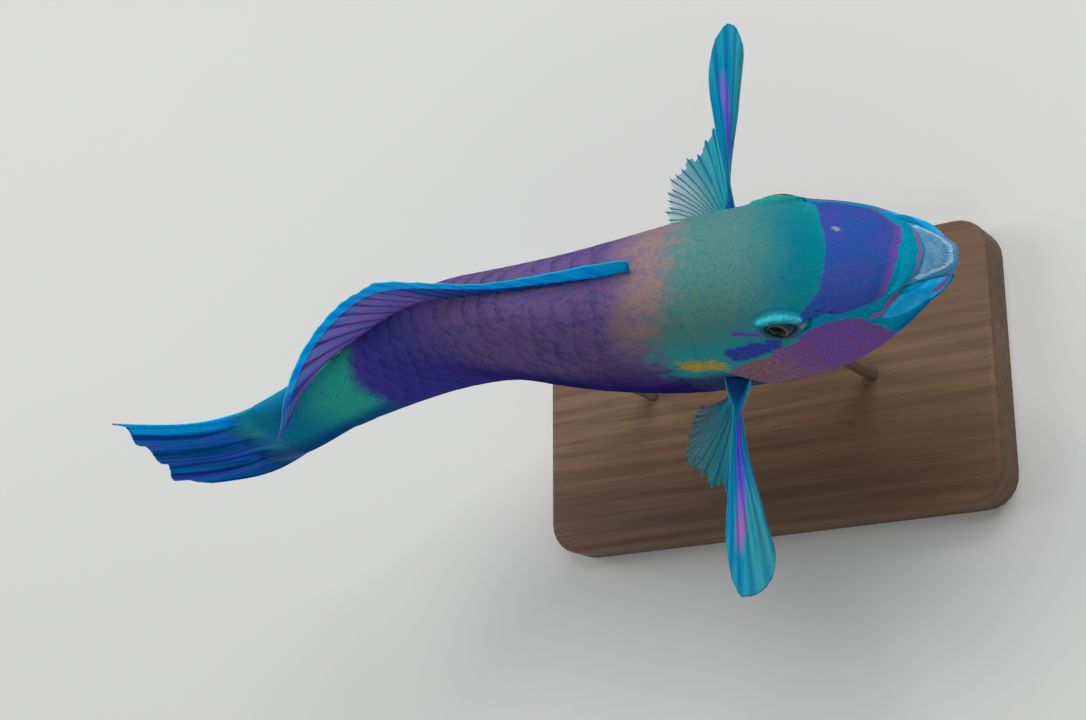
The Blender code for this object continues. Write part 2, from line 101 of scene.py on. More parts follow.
# Edges of the markings, as u at an angle or as an angle at u.
CAP_FRONT = (
    (-60, 50), (-51, 46.5), (-46, 45.5), (-41, 42.5), (-36, 39.5), (-30, 36.5), (-22, 35), (-9, 33.5),
    (0, 32.6), (10, 33), (25, 35), (46, 39), (52, 45), (60, 50),
)
FOREHEAD_FRONT = (
    (-70, 24), (-56, 21), (-50, 19), (-31, 15), (-12, 12.8), (0, 12.5), (12, 11.6), (30, 11.6),
    (37, 13.6), (56, 20.5), (70, 24),
)
FOREHEAD_LOW = ((10, 62), (20.5, 56), (25.5, 54), (33, 54), (39, 50), (43.5, 51), (50, 48))
CHEEK_TOP = (
    (24, 88), (26.5, 80), (28, 68), (32, 60), (38.5, 57), (43.5, 58), (47.5, 60), (51, 64), (58, 67),
    (66, 74), (75, 77), (86, 84), (95, 100),
)
CHEEK_FRONT = 25.5
LIP_TOP = ((0, 58), (14, 58), (20.5, 68), (24, 74), (28, 84), (31, 98))
LIP_BOTTOM = ((0, 108), (6, 107), (11, 102), (16, 96), (20, 89), (23, 80), (25, 72))
NAPE_REAR = (
    (-180, 96), (-130, 104), (-93, 108), (-66, 105.5), (-56, 103.5), (-42, 97), (-22, 89), (0, 84),
    (20, 83), (34, 85), (46, 95), (56, 102), (66, 105), (93, 108), (130, 104), (180, 96),
)
STALK_FRONT = ((0, 250), (40, 258), (70, 261), (100, 259), (140, 257), (180, 258))

# Marks drawn as rounded streaks: two ends as u and degrees, and half the width.
SOCKET = ((59, 56), (54.5, 60), (49, 58), (44.5, 56), (42.5, 50))
STREAKS = {
    "pink": (
        ((15.6, 57), (20.4, 67), 1.15), ((22.3, 71.5), (25.2, 69), 1.25), ((5.2, 82), (3.6, 89), 2.5),
    ),
    "patch": (((58, 62), (66, 67), 2.6), ((64, 65), (76, 68), 3.4)),
    "streak": (((62, 54), (70, 51), 1.0),),
    "socket": [(start, end, 0.5) for start, end in zip(SOCKET[:-1], SOCKET[1:])],
    "peach": (((45.6, 52.5), (46.2, 53.5), 0.8),),
    "yellow": (((86.5, 75), (98, 74), 3.4),),
}
SPOT = ((29.3, 15.4), (29.9, 16.8), 1.0)

# The fins: feet and tips as u or heights, how far they lean, and how their rays spread.
DORSAL_BASE = (99.0, 262.0)
DORSAL_RAYS = 19
DORSAL_SPINES = 9
DORSAL_TIPS = (
    (96.5, 56.5), (101, 59), (120, 61), (155, 60.4), (176, 64), (197, 67.5), (215, 60.5), (231, 54.5),
    (267, 40.5), (284, 28.4), (304, 6),
)
DORSAL_TIP_U = ((99, 96.8), (103, 103.5), (118, 128), (180, 201), (225, 252), (262, 304))
DORSAL_LEAN = -9.5
DORSAL_LEAN_U = (225.0, 285.0)
DORSAL_SPINE_LEAN = 1.5
ANAL_BASE = (206.0, 262.0)
ANAL_RAYS = 12
ANAL_SPINES = 2
ANAL_TIPS = ((209, -43), (216, -48), (234, -44), (262, -32), (285, -26))
ANAL_TIP_U = ((206, 209), (222, 240), (262, 285))
ANAL_LEAN = 4.5
ANAL_LEAN_U = (212.0, 235.0)
TAIL_RAYS = 13
TAIL_BASE_HALF = 20.2
TAIL_ROOT_THICK = 4.8
TAIL_TIP_U = ((0, 367), (0.1, 365), (0.3, 369), (0.55, 370), (0.8, 376), (0.93, 373), (1, 363))
TAIL_TIP_UP = ((0, 36.5), (0.1, 29), (0.3, 14), (0.55, -3), (0.8, -19), (0.93, -26), (1, -29.5))
TAIL_SAG = 3.4
TAIL_PLEATS = 3.5
TAIL_PLEAT_DEPTH = 1.9
PECTORAL_RAYS = 28
PECTORAL_RAY_AT = ((0, 0), (0.45, 5.4), (1, 27))
PECTORAL_BASE = ((86.8, -2.5), (91.5, -13.5))
PECTORAL_LENGTH = {
    "left": (
        (0, 50), (0.02, 59), (0.06, 67), (0.12, 75), (0.2, 79.7), (0.28, 78), (0.35, 73), (0.42, 66),
        (0.47, 56), (0.53, 49), (0.6, 44), (0.8, 36), (1, 30),
    ),
    "right": (
        (0, 53), (0.02, 61), (0.06, 68), (0.12, 76), (0.2, 81), (0.28, 80.5), (0.35, 76), (0.42, 65),
        (0.47, 57), (0.53, 49), (0.6, 41), (0.8, 33), (1, 27),
    ),
}
PECTORAL_FAN = {
    "left": ((0, -6.7), (0.2, 1.8), (0.42, 8.3), (0.5, 16), (0.6, 33), (0.8, 60), (1, 86)),
    "right": ((0, 2.3), (0.2, 8.5), (0.42, 21), (0.5, 27), (0.6, 40), (0.8, 68), (1, 88)),
}
PECTORAL_ROOT = {"left": (2.4, 0.3), "right": (4.2, 0.2)}
PECTORAL_POSE = {"left": (-6.9, -12.7), "right": (10.5, -1.3)}
# The slope from leading to trailing rays at the root, at the tip and in the fan behind the blade.
PECTORAL_SLOPE = {"left": (56.0, 129.0, 5.0), "right": (99.0, 140.0, 28.0)}
PELVIC_RAYS = 6
PELVIC_BASE = ((104.0, 9.5), (110.0, 5.0))
PELVIC_LENGTH = ((0, 46), (0.2, 54), (1, 36))
FIN_CLEARANCE = 1.5

# The skin and the scales: how deep, long and far apart, in millimetres, at a u.
SKIN_DEPTH = 0.35
MM_PER_DEGREE = 0.62
OUTSIDE = -9.0
SCALE_SPACING = 8.8
FIRST_SCALE = 52
LAST_SCALE = 294
FIN_FOOT = 88
SCALE_LENGTH = 15.4
SCALE_ROW = ((60, 9.4), (120, 10.4), (160, 10), (210, 8.6), (250, 7), (300, 6.4))
LATERAL_LINE = ((60, 60), (90, 62), (140, 70), (200, 84), (300, 90))
SCALE_LIFT = 0.22
SPOT_SIZE = 0.003

# The studio, in metres; the camera looks at the target from the photograph's side.
FLOOR_HALF = 6.0
TARGET = Vector((-0.0322, -0.0085, 0.135))
LAMPS = (
    ("key", (0.35, 0.75, 1.5), 1.0, 18.0),
    ("fill", (0.5, -1.3, 1.2), 1.4, 4.0),
    ("rim", (-1.3, 0.3, 1.0), 1.0, 8.0),
)
WORLD_COLOUR = (0.9, 0.95, 1.0, 1)
WORLD_STRENGTH = 0.25
CAMERA_SIDE = (0.5392, -0.2837, 0.7929)
CAMERA_AWAY = 0.7173
CAMERA_ROLL = math.radians(-67.4)
PHOTO_WIDTH = 1086
FOCAL_PIXELS = 1835.6
SENSOR = 36

rng = np.random.default_rng(11)


def curve(points, at):
    """Value at a place of the smooth line through (place, value) points, with no overshoot."""
    place, value = np.array(points, float).T
    step = np.diff(place)
    rise = np.diff(value) / step
    slope = np.concatenate([rise[:1], np.zeros(len(rise) - 1), rise[-1:]])
    for i in range(1, len(rise)):
        if rise[i - 1] * rise[i] > 0:
            before = 2 * step[i] + step[i - 1]
            after = step[i] + 2 * step[i - 1]
            slope[i] = (before + after) / (before / rise[i - 1] + after / rise[i])
    at = np.clip(np.asarray(at, float), place[0], place[-1])
    i = np.clip(np.searchsorted(place, at) - 1, 0, len(step) - 1)
    t = (at - place[i]) / step[i]
    start = (1 + 2 * t) * (1 - t) ** 2 * value[i] + t * (1 - t) ** 2 * step[i] * slope[i]
    end = t * t * (3 - 2 * t) * value[i + 1] + t * t * (t - 1) * step[i] * slope[i + 1]
    return start + end


def ease(value, start, end):
    """0 before start and 1 past end, with a soft step between."""
    t = np.clip((np.asarray(value, float) - start) / (end - start), 0, 1)
    return t * t * (3 - 2 * t)


def bump(value, width):
    """A smooth hump of height 1 round zero."""
    return np.exp(-(value / width) ** 2)


def spine():
    """Points and directions of the body's axis, one for each millimetre of u."""
    u = np.arange(-20.0, 421.0)
    heading = np.radians(curve(HEADING, u))
    climb = np.radians(curve(CLIMB, u))
    twist = np.radians(curve(TWIST, u))
    level = np.stack([np.cos(heading), np.sin(heading)], 1)
    back = np.concatenate([-level * np.cos(climb)[:, None], np.sin(climb)[:, None]], 1)
    point = np.concatenate([np.zeros((1, 3)), np.cumsum((back[1:] + back[:-1]) / 2, 0)])
    point -= point[20]
    left = np.cross(back, (0, 0, 1))
    left /= np.linalg.norm(left, axis=1, keepdims=True)
    up = np.cross(left, back)
    cos, sin = np.cos(twist)[:, None], np.sin(twist)[:, None]
    return u, point, left * cos - up * sin, up * cos + left * sin


SPINE_U, SPINE_POINT, SPINE_LEFT, SPINE_UP = spine()


def place(points):
    """World points, in metres, of points (u, side, up) of the straight fish."""
    points = np.asarray(points, float)
    u = points[..., 0]

    def at(table):
        return np.stack([np.interp(u, SPINE_U, table[:, k]) for k in range(3)], -1)

    world = at(SPINE_POINT) + at(SPINE_LEFT) * points[..., 1:2] + at(SPINE_UP) * points[..., 2:3]
    return (world + (BASE_CENTRE_U, 0, SNOUT_HEIGHT)) * MM


def degrees_round(angle):
    """Degrees from the back, left positive, within half a turn."""
    return np.degrees(np.arctan2(np.sin(angle), np.cos(angle)))


def relief(u, side, up, angle):
    """Height of the skin over the plain body: brows, lips, gill cover and the folds of the head."""
    turn = np.abs(degrees_round(angle))
    away = np.hypot(u - EYE[0], (up - EYE[2]) * 1.1)
    brow = 1.5 * np.exp(-(away / 9.5) ** 4) * ease(np.abs(side), 8, 16)
    behind = u - curve(LIP_EDGE, turn)
    lower = ease(turn, MOUTH_CORNER, MOUTH_CORNER + 8)
    width = 4.6 + 3.6 * lower
    full = 0.8 + 0.7 * lower * (1 - ease(turn, 74, 100)) - 0.45 * ease(turn, 88, 115)
    fold = full * np.sin(math.pi * np.clip(behind / width, 0, 1)) ** 0.8
    fold = fold - 0.4 * bump(behind - width - 1.0, 1.0)
    corner = -0.9 * bump((turn - MOUTH_CORNER - (u - 13.5) * 1.7) * 0.35, 0.9)
    corner = corner * ease(u, 11, 14) * (1 - ease(u, 19, 24))
    gill = curve(GILL_LINE, turn)
    flap = ease(turn, 28, 50) * (1 - ease(turn, 135, 165))
    ahead = gill - u
    edge = 0.8 * bump(ahead, 0.5) - 0.35 * ease(-ahead, 0, 0.8) * bump(ahead, 2.5)
    cover = flap * np.where(ahead > 0, 0.8 * bump(ahead, 5.0), edge)
    cheek = -0.35 * bump(ahead - 15 + 3 * bump(turn - 100, 25), 0.9)
    cheek = cheek * ease(turn, 72, 82) * (1 - ease(turn, 130, 145))
    pits = 0
    for nostril_u, nostril_up in NOSTRILS:
        gap = np.hypot(u - nostril_u, (up - nostril_up) * 1.25) + 9 * (np.abs(side) < 4)
        pits = pits - 0.9 * bump(gap, 0.55) + 0.3 * bump(gap - 1.3, 0.6)
    return brow + fold + corner + cover + cheek + pits


def rounded(value):
    """A sine or cosine made fuller, for a section rounder than an ellipse."""
    return np.sign(value) * np.abs(value) ** (2 / ROUNDNESS)


def filled(share):
    """Half the width of the body's rounded section, at a share of its half height."""
    return (1 - share ** ROUNDNESS) ** (1 / ROUNDNESS)


def surface(u, angle, lift=0.0):
    """Points of the skin, or of places lifted above it."""
    u, angle = np.broadcast_arrays(np.asarray(u, float), np.asarray(angle, float))
    top, bottom, flank = curve(BACK_LINE, u), curve(BELLY_LINE, u), curve(FLANK_LINE, u)
    middle = (top + bottom) / 2
    side = flank * rounded(np.sin(angle))
    height = (top - bottom) / 2 * rounded(np.cos(angle))
    inset = SKIN_DEPTH * ease(u, 55, 95)
    grow = relief(u, side, middle + height, angle) - inset + lift
    swell = 1 + grow / np.hypot(side, height)
    return np.stack([u, side * swell, middle + height * swell], -1)


def eye_frame(sign, way=EYE_AXIS):
    """Middle of an eyeball and the way it looks, or the way its lids open, in the straight fish."""
    axis = np.array([way[0], sign * way[1], way[2]])
    return np.array([EYE[0], sign * EYE[1], EYE[2]]), axis / np.linalg.norm(axis)


def lids(points, sign):
    """Each point's distance and way from the eyeball, its gap outside the lids, and how far above."""
    centre, axis = eye_frame(sign, LID_AXIS)
    out = points - centre
    distance = np.linalg.norm(out, axis=-1)
    way = out / np.maximum(distance, 0.01)[..., None]
    facing = way @ axis
    tilt = math.radians(LID_TILT)
    long_way = np.array([math.cos(tilt), 0, math.sin(tilt)])
    long_way -= axis * (long_way @ axis)
    long_way /= np.linalg.norm(long_way)
    high_way = np.cross(axis, long_way) * np.sign(np.cross(axis, long_way)[2])
    along, high = way @ long_way, way @ high_way
    turn = np.arctan2(high / LID_HIGH, along / LID_WIDE)
    edge_along = LID_WIDE / EYE_RADIUS * np.cos(turn)
    edge_high = LID_HIGH / EYE_RADIUS * np.sin(turn)
    edge_out = np.sqrt(1 - edge_along ** 2 - edge_high ** 2)
    edge = edge_along[..., None] * long_way + edge_high[..., None] * high_way
    edge = edge + edge_out[..., None] * axis
    inside = (np.hypot(along, high) < np.hypot(edge_along, edge_high)) & (facing > 0)
    reach = EYE_RADIUS + 0.7 * np.maximum(distance - EYE_RADIUS, 0)
    gap = np.linalg.norm(way - edge, axis=-1) * reach
    return distance, way, np.where(inside, -gap, gap), np.sin(turn)


def seat_eyes(points):
    """Draws the skin over each eyeball, opens it between the lids and raises the brow above them."""
    points = points.copy()
    for sign in (1, -1):
        distance, way, outside, high = lids(points, sign)
        above = ease(high, -0.1, 0.6)
        ridge = (0.3 + 1.3 * above) * bump(outside - 0.8 - 1.0 * above, 0.7 + 0.7 * above)
        groove = 0.4 * bump(outside - 2.3 - 2.4 * above, 0.8)
        cover = EYE_RADIUS + 0.3
        draped = np.logaddexp(distance / 0.6, cover / 0.6) * 0.6
        near = 1 - ease(distance, EYE_RADIUS + 4, EYE_RADIUS + 8)
        draped = distance + (draped - distance) * near + (ridge - groove) * near
        open_share = 1 - ease(outside, -0.55, 0.25)
        wanted = draped + (EYE_RADIUS - 0.9 - draped) * open_share
        points += way * (wanted - distance)[..., None]
    return points


def back_height(u, side):
    """Height of the back at a distance to the side of the middle."""
    top, bottom = curve(BACK_LINE, u), curve(BELLY_LINE, u)
    share = np.clip(np.abs(side) / curve(FLANK_LINE, u), 0, 0.99)
    return (top + bottom) / 2 + (top - bottom) / 2 * filled(share)


def belly_height(u, side):
    """Height of the belly at a distance to the side of the middle."""
    return curve(BACK_LINE, u) + curve(BELLY_LINE, u) - back_height(u, side)


def flank_side(u, up):
    """Distance of the flank from the middle, at a height."""
    top, bottom = curve(BACK_LINE, u), curve(BELLY_LINE, u)
    share = np.clip(np.abs(up - (top + bottom) / 2) / ((top - bottom) / 2), 0, 0.99)
    return curve(FLANK_LINE, u) * filled(share)


def capsule(u, turn, start, end, half):
    """Distance inside a rounded streak between two (u, degrees) places."""
    start, end = np.array(start, float), np.array(end, float)
    way = (end - start) * (1, MM_PER_DEGREE)
    du, dt = u - start[0], (turn - start[1]) * MM_PER_DEGREE
    along = np.clip((du * way[0] + dt * way[1]) / (way @ way), 0, 1)
    return half - np.hypot(du - along * way[0], dt - along * way[1])


def marks(u, angle):
    """How far inside each marking a place of the skin lies, in millimetres."""
    u, angle = np.broadcast_arrays(np.asarray(u, float), np.asarray(angle, float))
    signed = degrees_round(angle)
    turn = np.abs(signed)
    cap = u - curve(CAP_FRONT, signed)
    snout = curve(FOREHEAD_FRONT, signed) - u
    low = (turn - curve(FOREHEAD_LOW, u)) * MM_PER_DEGREE
    under_brow = (turn - curve(CHEEK_TOP, u)) * MM_PER_DEGREE
    under_lip_top = (turn - curve(LIP_TOP, u)) * MM_PER_DEGREE
    behind = u - curve(LIP_EDGE, turn)
    ahead = curve(GILL_LINE, turn) - u
    made = {
        "cap": cap,
        "forehead": np.minimum(np.minimum(-cap, -snout), -low),
        "forehead_rim": -np.abs(snout) + np.minimum(0, -low) * 2,
        "cheek": np.minimum(np.minimum(under_brow, u - CHEEK_FRONT), ahead + 1.5),
        "lip": np.minimum(under_lip_top, (curve(LIP_BOTTOM, u) - turn) * MM_PER_DEGREE),
        "nape": curve(NAPE_REAR, signed) - u,
        "stalk": u - curve(STALK_FRONT, turn),
        "gill": ahead,
    }
    pink = np.where(turn < MOUTH_CORNER, 0.3 - np.abs(behind - 0.55), OUTSIDE)
    for key, streaks in STREAKS.items():
        made[key] = np.maximum.reduce([capsule(u, turn, *streak) for streak in streaks])
    made["pink"] = np.maximum(pink, made["pink"])
    made["spot"] = capsule(u, signed, *SPOT)
    points = surface(u, angle)
    brow = orbit = lid = np.full(u.shape, OUTSIDE)
    for sign in (1, -1):
        distance, _, outside, high = lids(points, sign)
        near = 8 * (distance > EYE_RADIUS + 5)
        brow = np.maximum(brow, 1.2 - np.abs(outside - 1.9) - 4 * (1 - ease(high, 0.25, 0.7)) - near)
        orbit = np.maximum(orbit, 0.05 - outside - near)
        lid = np.maximum(lid, 0.45 - np.abs(outside - 0.5) - 5 * ease(high, 0.3, 0.7) - near)
    return {**made, "brow": brow, "orbit": orbit, "lid": lid}


def grid_faces(rows, columns, wrap=False):
    """Quads over a grid of points; wrap joins its last column to its first."""
    r, c = np.meshgrid(np.arange(rows - 1), np.arange(columns if wrap else columns - 1), indexing="ij")
    after = (c + 1) % columns
    near, far = r * columns, (r + 1) * columns
    return np.stack([near + c, near + after, far + after, far + c], -1).reshape(-1, 4)


def capped_faces(rows, columns):
    """Faces over rings of points, closed at each end round one of the last two points."""
    k = np.arange(columns)
    after = (k + 1) % columns
    last = (rows - 1) * columns
    front = np.stack([np.full(columns, rows * columns), after, k], 1)
    rear = np.stack([np.full(columns, rows * columns + 1), last + k, last + after], 1)
    return [grid_faces(rows, columns, True), front, rear]


def shell_faces(rows, columns):
    """Quads of a closed sheet whose points are one face's grid and then the other's."""
    face = grid_faces(rows, columns)
    shift = rows * columns
    rim = [(0, c) for c in range(columns)]
    rim += [(r, columns - 1) for r in range(1, rows)]
    rim += [(rows - 1, c) for c in range(columns - 2, -1, -1)]
    rim += [(r, 0) for r in range(rows - 2, 0, -1)]
    rim = np.array([r * columns + c for r, c in rim])
    after = np.roll(rim, -1)
    edge = np.stack([rim, rim + shift, after + shift, after], 1)
    return np.concatenate([face, face[:, ::-1] + shift, edge])


def piece(name, points, faces, material, fields, slot, *replaced):
    """A mesh that rides on the model, its faces turned outward, its fields stored on its points."""
    points = np.asarray(points, float).reshape(-1, 3)
    faces = [np.asarray(block, int) for block in (faces if isinstance(faces, list) else [faces])]
    volume = 0.0
    for block in faces:
        for k in range(1, block.shape[1] - 1):
            a, b, c = points[block[:, 0]], points[block[:, k]], points[block[:, k + 1]]
            volume += np.einsum("ij,ij->", a, np.cross(b, c))
    if volume < 0:
        faces = [block[:, ::-1] for block in faces]
    mesh = bpy.data.meshes.new(name)
    mesh.vertices.add(len(points))
    mesh.vertices.foreach_set("co", points.ravel())
    corners = np.concatenate([block.ravel() for block in faces])
    mesh.loops.add(len(corners))
    mesh.loops.foreach_set("vertex_index", corners)
    totals = np.concatenate([np.full(len(block), block.shape[1]) for block in faces])
    mesh.polygons.add(len(totals))
    mesh.polygons.foreach_set("loop_start", np.concatenate([[0], np.cumsum(totals)[:-1]]))
    mesh.update(calc_edges=True)
    mesh.validate()
    mesh.shade_smooth()
    for key, value in fields.items():
        value = np.asarray(value, float)
        vector = value.ndim > 1 and value.shape[-1] == 3
        held = mesh.attributes.new(key, "FLOAT_VECTOR" if vector else "FLOAT", "POINT")
        held.data.foreach_set("vector" if vector else "value", value.ravel())
    mesh.materials.append(material)
    made = bpy.data.objects.new(name, mesh)
    bpy.context.scene.collection.objects.link(made)
    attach(made, "root")
    if replaced:
        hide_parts(*replaced)
    return made


def rgb(red, green, blue):
    """A screen colour as the light that it stands for."""
    value = np.array([red, green, blue]) / 255
    linear = np.where(value <= 0.04045, value / 12.92, ((value + 0.055) / 1.055) ** 2.4)
    return (*linear.tolist(), 1.0)


class Field:
    """A value or a colour that varies over a surface, and the sums made of it."""

    def __init__(self, look, socket):
        self.look = look
        self.socket = socket

    def math(self, kind, other=0.0):
        return self.look.value("ShaderNodeMath", (0, self), (1, other), operation=kind)

    def __add__(self, other):
        return self.math("ADD", other)

    def __sub__(self, other):
        return self.math("SUBTRACT", other)

    def __rsub__(self, other):
        return self.look.value("ShaderNodeMath", (0, other), (1, self), operation="SUBTRACT")

    def __mul__(self, other):
        return self.math("MULTIPLY", other)

    def __truediv__(self, other):
        return self.math("DIVIDE", other)

    def __abs__(self):
        return self.math("ABSOLUTE")

    def step(self, start, end):
        """0 at start and 1 at end, soft between."""
        given = ("Value", self), ("From Min", start), ("From Max", end)
        return self.look.value("ShaderNodeMapRange", *given, interpolation_type="SMOOTHSTEP")

    def span(self, start, end, low, high):
        """Low at start and high at end, even between."""
        given = ("From Min", start), ("From Max", end), ("To Min", low), ("To Max", high)
        return self.look.value("ShaderNodeMapRange", ("Value", self), *given)

    def noise(self, scale, detail=2.0, rough=0.55):
        """Cloudy noise round a half, at one scale or at a scale for each axis."""
        where = self
        if isinstance(scale, tuple):
            where = self.look.value("ShaderNodeVectorMath", (0, self), (1, scale), operation="MULTIPLY")
            scale = 1.0
        given = ("Vector", where), ("Scale", scale), ("Detail", detail), ("Roughness", rough)
        return self.look.value("ShaderNodeTexNoise", *given)


class Look:
    """One material and the nodes that paint it."""

    def __init__(self, name):
        self.material = bpy.data.materials.new(name)
        self.material.use_nodes = True
        self.tree = self.material.node_tree
        self.held = {}

    def value(self, kind, *inputs, output=0, **settings):
        """One output of a new node, with its inputs wired or set."""
        made = self.tree.nodes.new(kind)
        for key, setting in settings.items():
            setattr(made, key, setting)
        self.wire(made, inputs)
        return Field(self, made.outputs[output])

    def wire(self, node, inputs):
        for where, given in inputs:
            if isinstance(given, Field):
                self.tree.links.new(given.socket, node.inputs[where])
            else:
                node.inputs[where].default_value = given

    def field(self, name, part=None):
        """A value stored on the surface, or one part of a stored vector."""
        if part is None:
            return self.stored(name, "Fac")
        vector = self.stored(name, "Vector")
        if (name, part) not in self.held:
            self.held[name, part] = self.value("ShaderNodeSeparateXYZ", (0, vector), output=part)
        return self.held[name, part]

    def stored(self, name, output):
        key = name, output
        if key not in self.held:
            self.held[key] = self.value("ShaderNodeAttribute", attribute_name=name, output=output)
        return self.held[key]

    def vector(self, name):
        return self.stored(name, "Vector")

    def mix(self, share, first, second):
        """The second colour over the first by a share; a triple is a screen colour."""
        given = [(0, share)]
        for where, colour in ((6, first), (7, second)):
            given.append((where, rgb(*colour) if isinstance(colour, tuple) else colour))
        return self.value("ShaderNodeMix", *given, output=2, data_type="RGBA")

    def coats(self, colour, *coats):
        """The colour with each (share, paint) laid over it in turn."""
        for share, paint in coats:
            colour = self.mix(share, colour, paint)
        return colour

    def finish(self, colour, roughness, height, strength, distance, alpha=1.0, **constants):
        """Wires colour, roughness and bump, and sets the constants on the shader itself."""
        given = ("Strength", strength), ("Distance", distance), ("Height", height)
        normal = self.value("ShaderNodeBump", *given)
        shader = self.tree.nodes["Principled BSDF"]
        given = ("Base Color", colour), ("Roughness", roughness), ("Normal", normal), ("Alpha", alpha)
        self.wire(shader, given)
        self.wire(shader, [(key.replace("_", " "), value) for key, value in constants.items()])
        return self.material


def body_colour(look):
    """The markings of the body, the same on the skin and on the scales."""
    flat = look.vector("flat")
    fine = flat.noise(0.95, 3.0, 0.65)
    middle = flat.noise(0.2, 3.0, 0.6)
    wide = flat.noise(0.045, 2.0) - 0.5
    speck = flat.noise(1.5, 2.0, 0.5)
    blotch = flat.noise((0.22, 0.5, 0.34), 3.0, 0.6)
    ragged = flat.noise(0.55, 3.0, 0.7).span(0.25, 0.75, -0.8, 0.8)
    back, side, up = (look.field("flat", k) for k in range(3))

    def zone(name, soft, rough):
        return (look.field(name) + ragged * rough).step(-soft, soft)

    def mottled(first, second, low=0.38, high=0.62):
        return look.mix(fine.step(low, high), first, second)

    # The trunk: purple and brown flecks, with more blue low on the flank and towards the tail. The low
    # flank is darker, partly from its own deeper blue and partly as painted shade.
    # dark: the low flank's deep blue, darkened further as painted shade on the lower flank.
    dark = look.coats(
        mottled((28, 30, 112), (40, 30, 104)),
        (speck.step(0.53, 0.68) * 0.35, (70, 42, 108)),
        (blotch.step(0.5, 0.66) * 0.4, (66, 42, 104)),
    )
    trunk = look.coats(
        mottled((116, 90, 128), (84, 84, 140)),
        (speck.step(0.53, 0.68) * 0.4, (136, 94, 126)),
        (speck.step(0.47, 0.34) * 0.32, (66, 78, 154)),
        (blotch.step(0.5, 0.66) * 0.55, (130, 84, 130)),
        (blotch.step(0.48, 0.34) * 0.45, (62, 60, 126)),
        ((up + wide * 26).step(26, -10), dark),
        (back.step(168, 240) * 0.9, mottled((54, 66, 170), (80, 64, 154))),
        (up.step(-30, -50) * 0.7, mottled((42, 62, 110), (56, 54, 108))),
    )

    # A pale tan and pink saddle between the green nape and the purple trunk.
    saddle = (look.field("nape") + wide * 20).step(-27, -5) * up.step(20, 42)
    tan = look.coats(
        (158, 134, 118),
        (fine.step(0.36, 0.66), (142, 116, 126)),
        (blotch.step(0.48, 0.62) * 0.6, (164, 134, 112)),
        (middle.step(0.48, 0.64) * 0.6, (124, 106, 140)),
    )

    # The green stalk of the tail, painted darker blue on its lower side as shade.
    stalk = look.coats(
        (50, 178, 160),
        (look.field("stalk").step(12, 36), (18, 128, 168)),
        (fine.step(0.46, 0.64) * 0.45, (40, 144, 150)),
        # painted shade: darker blue low on the stalk.
        ((up + ragged * 2.0).step(-3, -13) * 0.85, (20, 66, 136)),
    )

    # The green nape and cap, greyer towards the back.
    nape = (look.field("nape") + middle.span(0.3, 0.7, -5.0, 5.0)).step(-8, 8)
    grey = (look.field("cap") + (middle - 0.5) * 16).step(4, 30)
    cap = look.coats(
        look.mix(grey, (0, 122, 138), (90, 136, 128)),
        (fine.step(0.42, 0.64), look.mix(grey, (0, 122, 152), (62, 130, 134))),
        (speck.step(0.5, 0.7) * 0.35, look.mix(grey, (20, 136, 138), (108, 140, 128))),
        (up.step(38, 22) * 0.8, mottled((22, 154, 158), (54, 162, 162))),
        ((up + ragged * 1.5).step(8, -3) * 0.85, mottled((56, 56, 112), (74, 58, 110))),
    )

    # The teal snout, the violet forehead and its pink rim.
    snout = (look.field("cap") + ragged * 0.7).step(0.5, -0.5)
    forehead = zone("forehead", 0.5, 0.8)
    violet = look.coats(
        mottled((68, 86, 172), (38, 86, 164)),
        (speck.step(0.52, 0.66) * 0.6, (82, 76, 156)),
        (middle.step(0.46, 0.64) * 0.5, (74, 70, 164)),
        (flat.noise(0.09, 2.0).step(0.46, 0.6) * 0.5, (30, 88, 166)),
    )
    rim = (look.field("forehead_rim") + ragged * 0.8).step(-3.2, -0.2)

    # The cheek: magenta in front, orange and brown behind, dark under the throat.
    cheek = look.coats(
        mottled((134, 90, 166), (96, 80, 172), 0.34, 0.68),
        (middle.step(0.46, 0.66) * 0.8, (134, 80, 128)),
        ((back + (middle - 0.5) * 14).step(44, 72), mottled((162, 120, 122), (126, 92, 126))),
        (up.step(-14, -34) * 0.8, mottled((48, 58, 132), (74, 52, 116))),
    )

    # The bright blue lips, the deep blue chin, the yellow mark over the side fin and the brows.
    lip = look.coats(
        (20, 176, 240),
        (middle.step(0.4, 0.65), (62, 190, 250)),
        (look.field("lip").step(3.4, 0.4), (0, 138, 210)),
    )
    chin = back.step(29, 22) * up.step(4, -8)
    brushed = flat.noise((0.12, 0.6, 0.9), 3.0, 0.7)
    yellow = look.field("yellow") + brushed.span(0.3, 0.7, -2.6, 2.0)
    right_brow = mottled((40, 172, 194), (72, 192, 198))
    brow = look.mix(side.step(-2, 2), right_brow, mottled((20, 150, 146), (48, 162, 144)))
